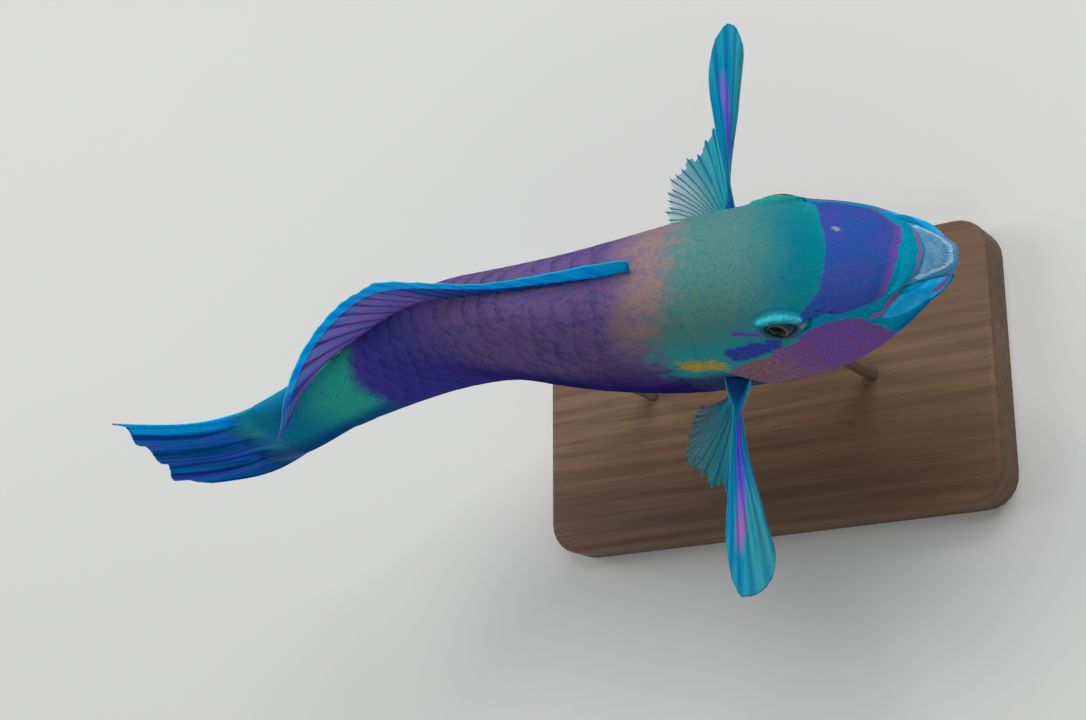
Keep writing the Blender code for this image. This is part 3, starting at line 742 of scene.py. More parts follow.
    # painted shade: a faint dark line along the gill cover's edge, fading out higher up the head.
    gill_edge_shade = abs(look.field("gill") + 0.5).step(1.6, 0.2) * up.step(34, 12)
    colour = look.coats(
        trunk,
        (saddle * 0.85, tan),
        (zone("stalk", 5.0, 2.5), stalk),
        (nape, cap),
        (snout, mottled((0, 142, 168), (10, 152, 188))),
        (forehead, violet),
        (rim * forehead * 0.75, mottled((140, 80, 170), (110, 76, 170))),
        (zone("cheek", 0.7, 1.2), cheek),
        (chin, mottled((0, 84, 168), (0, 104, 182))),
        ((look.field("lip") + ragged * 0.6).step(-0.9, 1.5), lip),
        (zone("pink", 0.3, 0.6) * 0.9, mottled((178, 84, 168), (142, 80, 168))),
        (zone("socket", 0.4, 0.2) * 0.8, (6, 50, 76)),
        (zone("patch", 0.9, 1.5), mottled((50, 66, 180), (66, 84, 164))),
        (zone("streak", 0.6, 0.8), (102, 80, 184)),
        (yellow.step(-1.0, 1.3), mottled((206, 174, 60), (166, 144, 76))),
        (zone("brow", 0.7, 0.6), brow),
        (zone("lid", 0.4, 0.2), mottled((66, 92, 104), (92, 92, 94))),
        (zone("orbit", 0.4, 0.1), (6, 26, 36)),
        (zone("peach", 0.6, 0.4), (170, 142, 128)),
        (zone("spot", 0.5, 0.6), (150, 160, 160)),
        # painted shade along the gill cover's edge.
        (gill_edge_shade * 0.22, (20, 60, 80)),
    )
    return colour, fine, middle


def skin_look():
    """Smooth, faintly pored skin."""
    look = Look("skin")
    colour, fine, middle = body_colour(look)
    height = look.vector("flat").noise(2.4, 2.0) * 0.5 + fine * 0.6
    rough = middle.span(0.3, 0.7, 0.44, 0.58)
    return look.finish(colour, rough, height, 0.35, 0.00025, Specular_IOR_Level=0.0)


def scale_look():
    """Large round scales: growth rings, fine rays and a dark rear edge on each."""
    look = Look("scales")
    colour, fine, middle = body_colour(look)
    along, across, chance = (look.field("plate", k) for k in range(3))
    bow = along + across * across * 0.1
    edge = (bow + (fine - 0.5) * 0.35).step(0.66, 1.0)
    trunk = look.field("nape").step(-4, -30) * look.field("stalk").step(4, -6)
    rim = edge * chance.span(0.0, 1.0, 0.15, 0.45)
    blue = bow.step(0.78, 0.5) * chance.step(0.45, 0.95) * 0.35
    colour = look.coats(colour, (rim * trunk, (46, 40, 98)), (blue * trunk, (60, 70, 138)))
    tint = (chance * 7.31).math("FRACT").span(0, 1, 0.92, 1.08)
    colour = look.value("ShaderNodeHueSaturation", ("Value", tint), ("Color", colour))
    rings = (bow * 70.0).math("SINE")
    rays = (across / (along + 0.35) * 42.0).math("SINE")
    height = rings * 0.16 + rays * 0.16 + fine * 0.5
    rough = middle.span(0.3, 0.7, 0.42, 0.56)
    return look.finish(colour, rough, height, 0.3, 0.0002, Specular_IOR_Level=0.0)


def angles_round(count):
    """Angles round the body, closer together beside the eyes."""
    fine = np.linspace(-180, 180, 3601)
    weight = 1 + 1.1 * bump(np.abs(fine) - 52, 16)
    total = np.concatenate([[0], np.cumsum((weight[1:] + weight[:-1]) / 2)])
    return np.radians(np.interp(np.linspace(0, total[-1], count, endpoint=False), total, fine))


def head_u(s, angle):
    """u of a ring of the skin, so that the first ring follows the edge of the lips."""
    edge = curve(LIP_EDGE, np.abs(degrees_round(angle)))
    return s + (edge - 3) * (1 - ease(s, 3, 40))


def build_skin():
    """One skin from the lips to the root of the tail, rolled in round the beak."""
    columns = 268
    angle = angles_round(columns)
    s = np.concatenate([np.linspace(3, 96, 168), np.linspace(96, BODY_LENGTH, 176)[1:]])
    s, a = np.meshgrid(s, angle, indexing="ij")
    u = head_u(s, a)
    flat = surface(u, a)
    points = seat_eyes(flat)
    middle = np.stack([flat[..., 0], 0 * u, (curve(BACK_LINE, u) + curve(BELLY_LINE, u)) / 2], -1)
    first, core = points[0], middle[0]
    way = (core - first) / np.maximum(np.linalg.norm(core - first, axis=-1, keepdims=True), 0.01)
    inner = []
    for shift, sink in ((0.9, 2.1), (0.0, 1.7), (-0.35, 1.1), (-0.3, 0.45)):
        ring = first + way * sink
        ring[:, 0] += shift
        inner.append(ring)
    deep = first + (core - first) * 0.45
    deep[:, 0] += 6
    last = points[-1] + (middle[-1] - points[-1]) * 0.5
    rings = np.concatenate([deep[None], np.array(inner), points, last[None]])
    ends = np.array([rings[0].mean(0), rings[-1].mean(0)])
    grid_u, grid_a, plain = (
        np.concatenate([np.repeat(grid[:1], 5, 0), grid, grid[-1:]]) for grid in (u, a, flat)
    )
    made = marks(grid_u, grid_a)
    fields = {key: np.append(value.ravel(), [OUTSIDE] * 2) for key, value in made.items()}
    fields["flat"] = np.concatenate([plain.reshape(-1, 3), ends])
    piece(
        "skin", np.concatenate([place(rings).reshape(-1, 3), place(ends)]),
        capped_faces(len(rings), columns), skin_look(), fields, "trunk_skin",
        "head", "trunk_front", "trunk_rear", "tail_stalk",
    )


def arc_tables():
    """Ways to find the arc from the back to the belly or the lateral line, and the angle at an arc."""
    angle = np.linspace(0, math.pi, 721)
    table_u = np.arange(40.0, 306.0)
    points = surface(table_u[:, None], angle[None, :])
    step = np.linalg.norm(np.diff(points[..., 1:], axis=1), axis=-1)
    arc = np.concatenate([np.zeros((len(table_u), 1)), np.cumsum(step, 1)], 1)
    at = np.arange(0.0, 141.0)
    table = np.stack([np.interp(at, line, angle) for line in arc])
    line_angle = np.radians([curve(LATERAL_LINE, u) for u in table_u])
    line_arc = np.stack([np.interp(a, angle, line) for a, line in zip(line_angle, arc)])

    def to_belly(u):
        return np.interp(u, table_u, arc[:, -1])

    def to_line(u):
        return np.interp(u, table_u, line_arc)

    def angle_at(u, arc):
        total = to_belly(u)
        below = arc > total
        arc = np.where(below, 2 * total - arc, arc)
        sign = np.where(arc < 0, -1.0, 1.0)
        x = np.clip(u - table_u[0], 0, len(table_u) - 1.001)
        y = np.clip(np.abs(arc), 0, 139.0)
        i, j = x.astype(int), y.astype(int)
        x, y = x - i, y - j
        low = table[i, j] * (1 - y) + table[i, j + 1] * y
        high = table[i + 1, j] * (1 - y) + table[i + 1, j + 1] * y
        angle = low * (1 - x) + high * x
        return np.where(below, 2 * math.pi - angle, angle * sign)

    return to_belly, to_line, angle_at


def scale_places(sign, to_belly, to_line, angle_at):
    """Each scale's root, row, arc from the back, row height, boldness, and if on the midline."""
    for row in range(-12, 13):
        for column in range(31):
            root = FIRST_SCALE + SCALE_SPACING * (column + 0.5 * (row % 2))
            if root > LAST_SCALE:
                continue
            pitch = curve(SCALE_ROW, root)
            arc = to_line(root) - row * pitch
            finned = root > FIN_FOOT
            midline = arc < 0.55 * pitch and not finned
            if finned and arc < 0.2 * pitch or midline and (arc < -0.45 * pitch or sign < 0):
                continue
            if arc > to_belly(root) - 0.3 * pitch:
                continue
            if midline:
                arc = 0.0
            turn = math.degrees(float(angle_at(np.array(root), np.array(arc))))
            gill = float(curve(GILL_LINE, turn))
            cheek = 74 < turn < 128 and 46 < root < gill - 13
            if root < (64 if turn < 50 else gill + 0.5) and not cheek:
                continue
            bold = float(ease(root, 80, 106)) if turn < 60 else 1.0
            if cheek:
                bold = 0.45
            if bold >= 0.25:
                yield root, row, arc, pitch, bold, midline


def build_scales():
    """Overlapping round scales in rows from the lateral line, on the left and on the right."""
    ways = arc_tables()
    to_line, angle_at = ways[1:]
    rows, columns = 11, 11
    p, q = np.meshgrid(np.linspace(0, 1, rows), np.linspace(-1, 1, columns), indexing="ij")
    spread = 0.8 + 0.2 * np.sqrt(np.sin(math.pi * np.clip(p, 0.05, 0.95)))
    template = shell_faces(rows, columns)
    look = scale_look()
    for name, sign in (("left", 1), ("right", -1)):
        outer, inner, fields = [], [], {}
        for root, row, arc, pitch, bold, midline in scale_places(sign, *ways):
            length = SCALE_LENGTH * (1 - 0.22 * float(ease(root, 230, 290)))
            lift = SCALE_LIFT * bold * (1 - 0.45 * float(ease(root, 215, 255)))
            lift = lift * rng.uniform(0.85, 1.15)
            u = np.minimum(root + length * p * (1 - 0.30 * q * q), BODY_LENGTH - 0.4)
            way = 0 * u if midline else to_line(u) - row * curve(SCALE_ROW, u)
            bend = way + q * spread * pitch * 1.04
            if root > FIN_FOOT:
                bend = np.where(bend < 1.4, 1.4 * np.exp(np.minimum(bend - 1.4, 0) / 3.0), bend)
            angle = sign * angle_at(u, bend)
            rise = -0.14 + lift * p * (1 - 0.24 * q * q) + 0.05 * bold * np.cos(q * 3) * p
            outer.append(surface(u, angle, rise))
            inner.append(surface(u, angle, rise - 0.16 * (0.4 + bold)))
            plate = np.stack([p, q, 0 * p + rng.uniform()], -1)
            across = 0.5 + 0.46 * sign * arc / 140
            spot = np.stack([(root - 40) / 270 + SPOT_SIZE * p, across + SPOT_SIZE / 2 * q], -1)
            held = {**marks(u, angle), "flat": surface(u, angle), "plate": plate, "spot_uv": spot}
            for key, value in held.items():
                value = value.reshape(-1, *value.shape[2:])
                fields.setdefault(key, []).append(np.concatenate([value, value]))
        count = len(outer)
        points = np.concatenate([np.stack(face).reshape(count, -1, 3) for face in (outer, inner)], 1)
        faces = (template[None] + (np.arange(count) * points.shape[1])[:, None, None]).reshape(-1, 4)
        merged = {key: np.concatenate(value) for key, value in fields.items()}
        spots = merged.pop("spot_uv").astype(np.float32)
        made = piece("scales_" + name, place(points), faces, look, merged, "trunk_skin")
        layer = made.data.uv_layers.new(name="OFBake")
        loops = np.zeros(len(made.data.loops), np.int32)
        made.data.loops.foreach_get("vertex_index", loops)
        layer.data.foreach_set("uv", spots[loops].ravel())


def fin_grid(rows, columns, last=1.0):
    """A fin's grid: the place across, from its first ray to its last, and the share of the way out."""
    return np.meshgrid(np.linspace(0, last, columns), np.linspace(0, 1, rows))


def between(ends, share):
    """A value part of the way between two."""
    return ends[0] + (ends[1] - ends[0]) * share


def ray_ridges(phase, f, branching, width=0.085):
    """Height from 0 to 1 of the fin rays, which split twice towards their tips."""
    away = np.abs(phase - np.round(phase))
    away = np.abs(away - branching * 0.13 * ease(f, 0.42, 1.0))
    away = np.abs(away - branching * 0.06 * ease(f, 0.7, 1.0))
    return bump(away, width * (1.25 - 0.5 * f))


def faces_of(centre, half):
    """The two faces of a fin, half a thickness to either side of its middle surface."""
    across = np.gradient(centre, axis=1)
    along = np.gradient(centre, axis=0)
    normal = np.cross(across, along)
    normal /= np.linalg.norm(normal, axis=2, keepdims=True)
    return centre + normal * half[..., None], centre - normal * half[..., None]


def fin_piece(name, left, right, phase, share, f, length, look):
    """A closed fin sheet that holds the ray number, the share of the way out and the edge's gap."""
    rows, columns = left.shape[:2]
    fin = np.stack([phase, f, share], -1)
    edge = (1 - f) * length
    both = np.concatenate([left.reshape(-1, 3), right.reshape(-1, 3)])
    fields = {"fin": np.concatenate([fin, fin]), "edge": np.concatenate([edge, edge]), "flat": both}
    piece(name, place(both), shell_faces(rows, columns), look, fields, "fins", name)


def fin_half(phase, f, branching, ray=0.55, membrane=0.17):
    """Half the thickness of a fin over its grid, with its joints along each soft ray."""
    ridge = ray_ridges(phase, f, branching)
    joints = 1 + 0.14 * branching * np.sin(f * 95) * ease(f, 0.3, 0.5)
    return (membrane + (ray - membrane) * ridge * joints * (1 - 0.62 * f)) * (1.15 - 0.35 * f), ridge


def median_fin(base_u, tips, tip_u, rays, columns, rows, lean, height_at, rise, spines):
    """Both faces of a fin that stands on the back (rise 1) or hangs from the belly (rise -1)."""
    share, f = fin_grid(rows, columns)
    phase = share * (rays - 1)
    branching = ease(phase, spines - 0.6, spines + 0.4)
    foot_u = between(base_u, share[0])
    end_u = curve(tip_u, foot_u)
    foot = np.stack([foot_u, 0 * foot_u, height_at(foot_u, 0.6) + rise * GAP], 1)
    end = np.stack([end_u, lean(end_u), curve(tips, end_u)], 1)
    half, ridge = fin_half(phase, f, branching)
    notch = (0.008 + 0.006 * (1 - branching)) * (1 - ridge[-1]) * (np.abs(share - 0.5) < 0.49)
    reach = f * (1 - notch * ease(f, 0.6, 1.0))
    centre = foot + (end - foot) * reach[..., None]
    centre[..., 0] += (2.3 * ease(share, 0, 0.06) - 0.8) * np.sin(math.pi * f)
    centre[..., 1] = lean(end_u) * reach ** 1.3
    centre[..., 1] += 0.08 * np.cos(2 * math.pi * phase) * f + 0.3 * np.sin(phase * 0.9) * f
    clear = height_at(centre[..., 0], centre[..., 1]) + rise * FIN_CLEARANCE * ease(f, 0, 0.15)
    centre[..., 2] = rise * np.maximum(rise * centre[..., 2], rise * clear)
    left, right = faces_of(centre, half)
    for face in (left, right):
        face[0, :, 2] = height_at(face[0, :, 0], face[0, :, 1]) - rise * 0.5
    return left, right, phase, share, f, np.linalg.norm(end - foot, axis=1)


def fin_look(name, paint, alpha=None, splits=0.13):
    """A fin: paint gives its colour, with ray ridges, joints and fine wrinkles in its bump."""
    look = Look(name)
    phase, f, share = (look.field("fin", k) for k in range(3))
    flat = look.vector("flat")
    fine = flat.noise(1.1, 3.0, 0.65)
    streaks = look.value("ShaderNodeCombineXYZ", (0, phase * 3.2), (1, f * 1.6)).noise(1.0, 3.0, 0.6)
    away = abs((phase + 0.5).math("FRACT") - 0.5)
    ray = abs(away - f.step(0.42, 1.0) * splits).step(0.13, 0.03)
    colour = paint(look, phase, f, share, ray, fine, streaks)
    joints = (f * 190.0).math("SINE") * ray * 0.12
    height = ray * 0.5 + (streaks * 0.5 + fine * 0.4) + joints
    rough = fine.span(0.3, 0.7, 0.42, 0.56)
    return look.finish(
        colour, rough, height, 0.4, 0.0003, alpha(f, share, ray) if alpha else 1.0,
        Specular_IOR_Level=0.03, Subsurface_Weight=0.8, Subsurface_Scale=0.003,
        Subsurface_Radius=(0.4, 0.8, 1.0),
    )


def dorsal_paint(look, phase, f, share, ray, fine, streaks):
    """Blue along the spines, with dark blue below the band as painted shade on a dark membrane; behind
    them purple with a wide blue margin.
    """
    edge = look.field("edge")
    soft = phase.step(8.6, 10.6)
    inside = edge - soft.span(0.0, 1.0, 10.6, 6.0)
    membrane = look.coats(
        (124, 84, 152),
        (streaks.step(0.4, 0.62), (90, 78, 154)),
        (look.vector("flat").noise(0.16).step(0.45, 0.62) * 0.6, (136, 80, 150)),
    )
    band = look.coats(
        (0, 136, 246),
        (streaks.step(0.35, 0.65), (0, 154, 242)),
        (ray * 0.25, (0, 122, 214)),
        (edge.step(0.9, 0.2), (10, 160, 226)),
    )
    return look.coats(
        # dark blue: the spiny part's low membrane, darkened as painted shade under the band.
        (24, 60, 130),
        (soft, membrane),
        (ray * 0.5, (50, 44, 104)),
        # painted shade: a dark line along the band's inner edge.
        (abs(inside - 0.5).step(1.1, 0.2) * 0.6, (34, 38, 104)),
        ((inside + fine.span(0.3, 0.7, -0.4, 0.4)).step(0.35, -0.35), band),
        (phase.step(1.5, 0.1) * 0.65, (0, 132, 160)),
        (share.step(0.9, 0.96) * f.step(0.4, 0.8) * 0.8, (56, 64, 138)),
    )


def anal_paint(look, phase, f, share, ray, fine, streaks):
    """Purple with a blue margin."""
    band = look.mix(streaks.step(0.35, 0.65), (0, 108, 184), (0, 132, 190))
    return look.coats(
        (112, 62, 138),
        (streaks.step(0.4, 0.62), (72, 60, 150)),
        (ray * 0.4, (52, 52, 124)),
        (f.step(0.35, 0.05), (20, 96, 132)),
        ((look.field("edge") + fine.span(0.3, 0.7, -0.4, 0.4)).step(3.4, 2.8), band),
    )


def tail_paint(look, phase, f, share, ray, fine, streaks):
    """Deep blue with violet streaks, dark lines of painted shade along its pleats, teal at the root
    with painted shade on the root's lower half, and a bright upper margin.
    """
    patches = look.vector("flat").noise((0.02, 0.22, 0.26))
    # groove: dark lines along the pleats, painted shade in their folds.
    groove = (share * 44.0 + streaks * 1.6).math("SINE").step(0.55, 0.95)
    bright = look.mix(fine.step(0.4, 0.6), (0, 146, 240), (0, 160, 240))
    root = look.coats(
        (16, 132, 172),
        (f.step(0.03, 0.1) * share.step(0.42, 0.28) * 0.8, (34, 160, 160)),
        # painted shade: the root's lower half in darker blue, as on the stalk's lower side.
        (share.step(0.5, 0.8) * 0.85, (20, 66, 136)),
    )
    return look.coats(
        (4, 88, 160),
        (streaks.step(0.38, 0.62), (8, 58, 130)),
        (patches.step(0.5, 0.58) * f.step(0.12, 0.4) * 0.75, (44, 70, 190)),
        # painted shade in the pleats' folds.
        (groove * f.step(0.2, 0.55) * 0.75, (6, 34, 88)),
        (share.step(0.5, 0.2) * 0.3, (6, 92, 176)),
        (ray * 0.35, (0, 60, 124)),
        ((f + (streaks - 0.5) * 0.3).step(0.42, 0.0), root),
        ((share + fine * 0.02).step(0.16, 0.13) * f.step(0.05, 0.3), bright),
        (share.step(0.95, 0.98) * 0.6, (0, 74, 140)),
        (look.field("edge").step(1.4, 0.4), (0, 66, 130)),
    )


def pectoral_painter(width, course, end_colour):
    """Paints a side fin with a violet stripe down its blade, and a teal fan behind it."""
    def paint(look, phase, f, share, ray, fine, streaks):
        drawn = streaks.step(0.36, 0.64)
        thin = look.mix(drawn, (20, 118, 148), (66, 144, 142))
        behind = look.mix(drawn, (22, 128, 148), (52, 148, 158))
        half = f.span(0.2, 0.9, 0.085, 0.04) * width
        within = half - abs(share - f.span(0.2, 0.9, *course)) + fine.span(0.3, 0.7, -0.012, 0.012)
        stripe = within.step(-0.012, 0.016) * (f + fine * 0.1).step(0.9, 0.74) * f.step(0.02, 0.12)
        violet = look.coats(
            (84, 62, 224),
            (fine.step(0.4, 0.6), (104, 66, 214)),
            (f.step(0.4, 0.72), end_colour),
        )
        return look.coats(
            (4, 112, 164),
            (drawn, (18, 132, 168)),
            (share.step(0.2, 0.32) * f.step(0.35, 0.7), thin),
            (share.step(0.42, 0.52), behind),
            ((f + streaks * 0.2).step(0.88, 1.08) * share.step(0.5, 0.4) * 0.6, (36, 134, 156)),
            (stripe, violet),
            (ray * share.span(0.4, 0.55, 0.3, 0.6), (6, 66, 100)),
            (f.step(0.26, 0.06) * abs(share - 0.16).step(0.06, 0.16) * 0.65, (24, 56, 136)),
            (look.field("edge").step(1.0, 0.2), (20, 104, 132)),
        )
    return paint


def pectoral_alpha(f, share, ray):
    """The thin membrane behind is clear between its rays, and more so towards its edge."""
    thin = share.step(0.5, 0.68) * f.step(0.1, 0.5)
    clear = thin * (1.0 - ray * 0.8)
    return 1.0 - clear * f.span(0.4, 1.0, 0.42, 0.8)


def pelvic_paint(look, phase, f, share, ray, fine, streaks):
    """Teal blue with a violet first ray."""
    return look.coats(
        (0, 108, 150),
        (streaks.step(0.4, 0.6), (46, 90, 158)),
        (ray * 0.4, (20, 60, 124)),
        (share.step(0.12, 0.04), (0, 122, 184)),
    )


def build_median_fins():
    """The dorsal and anal fins."""
    def dorsal_lean(u):
        return DORSAL_LEAN * ease(u, *DORSAL_LEAN_U) + DORSAL_SPINE_LEAN * (1 - ease(u, 170, 215))

    def anal_lean(u):
        return ANAL_LEAN * ease(u, *ANAL_LEAN_U)

    made = median_fin(
        DORSAL_BASE, DORSAL_TIPS, DORSAL_TIP_U, DORSAL_RAYS, 16 * (DORSAL_RAYS - 1) + 1, 40,
        dorsal_lean, back_height, 1, DORSAL_SPINES,
    )
    fin_piece("dorsal_fin", *made, fin_look("dorsal", dorsal_paint))
    made = median_fin(
        ANAL_BASE, ANAL_TIPS, ANAL_TIP_U, ANAL_RAYS, 14 * (ANAL_RAYS - 1) + 1, 34,
        anal_lean, belly_height, -1, ANAL_SPINES,
    )
    fin_piece("anal_fin", *made, fin_look("anal", anal_paint))


def build_tail_fin():
    """The tail fin, half closed, so that it stands in shallow pleats."""
    share, f = fin_grid(90, 18 * (TAIL_RAYS - 1) + 1)
    phase = share * (TAIL_RAYS - 1)
    half, ridge = fin_half(phase, f, np.ones_like(f), 0.7, 0.2)
    section = TAIL_ROOT_THICK * filled(np.abs(2 * share - 1))
    half = half + np.maximum(section - half, 0) * (1 - ease(f, 0, 0.32))
    reach = f * (1 - 0.007 * (1 - ridge) * ease(f, 0.75, 1))
    foot_up = TAIL_BASE_HALF * (1 - 2 * share)
    u = BODY_LENGTH + GAP + (curve(TAIL_TIP_U, share) - BODY_LENGTH - GAP) * reach
    up = foot_up + (curve(TAIL_TIP_UP, share) - foot_up) * f - TAIL_SAG * np.sin(math.pi * f)
    side = TAIL_PLEAT_DEPTH * np.sin(2 * math.pi * TAIL_PLEATS * share) * np.sin(math.pi * f * 0.75)
    side = side + 0.3 * np.cos(2 * math.pi * phase) * f
    left, right = faces_of(np.stack([u, side, up], -1), half)
    for face in (left, right):
        face[0, :, 0] = BODY_LENGTH - 1.2
    length = curve(TAIL_TIP_U, share) - BODY_LENGTH
    fin_piece("caudal_fin", left, right, phase, share, f, length, fin_look("tail", tail_paint))


def build_pectoral(name, sign, look):
    """A side fin: a long blade of the first rays that turns over, and a short fan behind it."""
    phase, f = fin_grid(88, 10 * (PECTORAL_RAYS - 1) + 1, PECTORAL_RAYS - 1)
    ray_share, ray_at = np.array(PECTORAL_RAY_AT).T
    share = np.interp(phase, ray_at, ray_share)
    half, ridge = fin_half(phase, f, 1 - 0.9 * ease(share, 0.4, 0.6), 0.5, 0.15)
    thick, until = PECTORAL_ROOT[name]
    half = half + thick * (1 - ease(f, 0, until)) * (1 - 0.85 * ease(share, 0.35, 0.85))
    foot_u, foot_up = (between(ends, share) for ends in zip(*PECTORAL_BASE))
    sweep, droop = np.radians(PECTORAL_POSE[name])
    out = np.array([math.sin(sweep), math.cos(sweep) * math.cos(droop), -math.sin(droop)])
    turn_over = ease(f, 0.15, 0.75) * (1 - ease(share, 0.34, 0.52))
    flatten = ease(share, 0.44, 0.68)
    at_root, at_tip, behind = PECTORAL_SLOPE[name]
    slope = np.radians(between((at_root, at_tip), turn_over) + (behind - at_root) * flatten)
    chord = np.stack([np.cos(slope), 0 * slope, -np.sin(slope)], -1)
    notch = 1 - (0.004 + 0.045 * ease(share, 0.42, 0.55)) * (1 - ridge) * ease(f, 0.75, 1)
    uneven = 0.035 * np.sin(np.round(phase) * 2.4) * ease(share, 0.45, 0.6)
    length = curve(PECTORAL_LENGTH[name], share) * (1 + uneven * ease(f, 0.5, 1))
    reach = length * f * notch
    fan = np.radians(curve(PECTORAL_FAN[name], share)) * (0.72 + 0.28 * f)
    foot = np.stack([foot_u, flank_side(foot_u, foot_up) + GAP, foot_up], -1)
    centre = foot + out * (reach * np.cos(fan))[..., None] + chord * (reach * np.sin(fan))[..., None]
    left, right = faces_of(centre, half)
    for face in (left, right):
        face[0, :, 1] = flank_side(face[0, :, 0], face[0, :, 2]) - 1.0
        face[..., 1] *= sign
    fin_piece("pectoral_fin_" + name, left, right, phase, share, f, length, look)


def build_pelvic(name, sign, look):
    """A belly fin, laid back close under the belly."""
    share, f = fin_grid(48, 14 * (PELVIC_RAYS - 1) + 1)
    phase = share * (PELVIC_RAYS - 1)
    half, ridge = fin_half(phase, f, np.ones_like(f) * ease(phase, 0.4, 1), 0.6, 0.17)
    foot_u, foot_side = (between(ends, share) for ends in zip(*PELVIC_BASE))
    length = curve(PELVIC_LENGTH, share)
    reach = length * f * (1 - 0.05 * (1 - ridge) * ease(f, 0.75, 1))
    u = foot_u + reach * 0.96
    side = foot_side + reach * (0.03 - 0.05 * share)
    up = belly_height(foot_u, foot_side) - GAP - reach * (0.26 - 0.08 * share) + 2.5 * f * f
    left, right = faces_of(np.stack([u, side, up], -1), half + 0.4 * (1 - ease(f, 0, 0.12)))
    for face in (left, right):
        face[0, :, 2] = belly_height(face[0, :, 0], face[0, :, 1]) + 0.8
        face[..., 1] *= sign
    fin_piece("pelvic_fin_" + name, left, right, phase, share, f, length, look)


def build_beak():
    """The two tooth plates of fused teeth, with notched pale cutting edges."""
    columns = 97
    angle_table = np.radians(np.linspace(0, 180, 721))
    look = beak_look()
    for name, rise, first, count, spread in BEAK_PLATES:
        rows = []
        for ring_u in first + (16.8 - first) * np.linspace(0, 1, count) ** spread:
            top, under = curve(BEAK_TOP, ring_u), curve(BEAK_UNDER, ring_u)
            nose = math.sqrt(1 - (1 - min(ring_u - BEAK_TIP, BEAK_BLUNT) / BEAK_BLUNT) ** 2)

            def ring(angle):
                edge = curve(LIP_EDGE, np.abs(degrees_round(angle)))
                inset = (0.1 if rise > 0 else 0.4) + 0.65 * ease(ring_u - edge, -2.5, -0.4)
                side = (curve(BEAK_FLANK, ring_u) - inset) * nose * rounded(np.sin(angle))
                high = ((top - under) / 2 - inset) * nose
                return side, (top + under) / 2 + high * rounded(np.cos(angle))

            line = float(curve(MOUTH_LINE, ring_u)) + 0.12 * rise
            limit = float(np.interp(-line, -ring(angle_table)[1], angle_table))
            turn = np.linspace(-1, 1, columns)
            angle = turn * limit if rise > 0 else math.pi + turn * (math.pi - limit)
            side, up = ring(angle)
            rows.append(np.stack([0 * angle + ring_u, side, up], -1))
        outer = np.array(rows)
        across = np.arctan2(outer[..., 1], outer[..., 0] + 6) * 14
        from_edge = np.minimum(np.abs(outer[..., 2] - curve(MOUTH_LINE, outer[..., 0])), 20)
        middle = 0 * across + outer[..., 2].mean(1, keepdims=True)
        core = np.stack([outer[..., 0], 0 * across, middle], -1)
        way = outer - core
        way /= np.maximum(np.linalg.norm(way, axis=-1, keepdims=True), 0.01)
        wave = np.abs(np.sin(across * math.pi / TOOTH_WIDTH))
        teeth = 0.16 * wave * bump(from_edge, 3.2) - 0.08 * bump(across, 0.35)
        lips = 0.35 * bump(from_edge - 0.2, 1.1) if rise > 0 else 0 * teeth
        outer = outer + way * (teeth + lips)[..., None]
        outer[..., 2] -= rise * 0.22 * wave * bump(from_edge, 0.7)
        depth = np.linalg.norm(outer - core, axis=-1, keepdims=True)
        inner = outer - way * np.minimum(1.4, 0.6 * depth)
        inner[..., 0] += 0.9
        points = np.concatenate([outer.reshape(-1, 3), inner.reshape(-1, 3)])
        tooth = np.stack([across, from_edge, 0 * across + rise], -1).reshape(-1, 3)
        fields = {"tooth": np.concatenate([tooth, tooth]), "flat": points}
        faces = shell_faces(count, columns)
        piece("beak_" + name, place(points), faces, look, fields, "beak", "beak_" + name)


def beak_look():
    """Grey-teal fused teeth, white and notched at the upper plate's cutting edge."""
    look = Look("beak_plates")
    across, from_edge, rise = (look.field("tooth", k) for k in range(3))
    flat = look.vector("flat")
    cells = look.value("ShaderNodeTexVoronoi", ("Vector", flat), ("Scale", 1.1), feature="SMOOTH_F1")
    fine = flat.noise(1.6, 3.0)
    wide = flat.noise(0.28, 3.0, 0.6)
    upper = rise.step(-0.5, 0.5)
    notch = abs((across * (math.pi / TOOTH_WIDTH)).math("SINE"))
    edge = from_edge + (notch * -0.45 + (fine - 0.5) * 0.9)
    dents = abs(edge - 0.75).step(0.25, 0.05) * notch.step(0.75, 0.35)
    plate = look.coats(
        (46, 118, 168),
        (wide.step(0.36, 0.64), (98, 170, 210)),
        (cells.step(0.25, 0.6) * 0.2, (56, 106, 146)),
        (fine.step(0.56, 0.7) * 0.3, (140, 184, 214)),
        ((from_edge + (wide - 0.5) * 4.0).step(6.5, 2.5) * upper * 0.35, (124, 176, 208)),
    )
    white = look.mix(fine.step(0.4, 0.6), (176, 216, 234), (132, 190, 222))
    colour = look.coats(
        (70, 154, 200),
        (from_edge.step(0.3, 3.4), (24, 100, 154)),
        (upper, plate),
        (dents * upper * 0.36, (24, 72, 112)),
        (edge.step(0.6, 0.25) * upper * 0.9, white),
    )
    return look.finish(
        colour, fine.span(0.3, 0.7, 0.26, 0.42), cells * 0.6 + fine * 0.4, 0.3, 0.00025,
        Specular_IOR_Level=0.35, Coat_Weight=0.08, Coat_Roughness=0.2,
    )


def lathe(profile, around):
    """Rings (radius, depth) turned about an axis, with a point at each end; points as (x, y, depth)."""
    turn = np.linspace(0, 2 * math.pi, around, endpoint=False)
    rings = np.array([[(r * math.cos(t), r * math.sin(t), d) for t in turn] for r, d in profile])
    points = np.concatenate([rings.reshape(-1, 3), [[0, 0, profile[0][1]], [0, 0, profile[-1][1]]]])
    return points, capped_faces(len(profile), around)


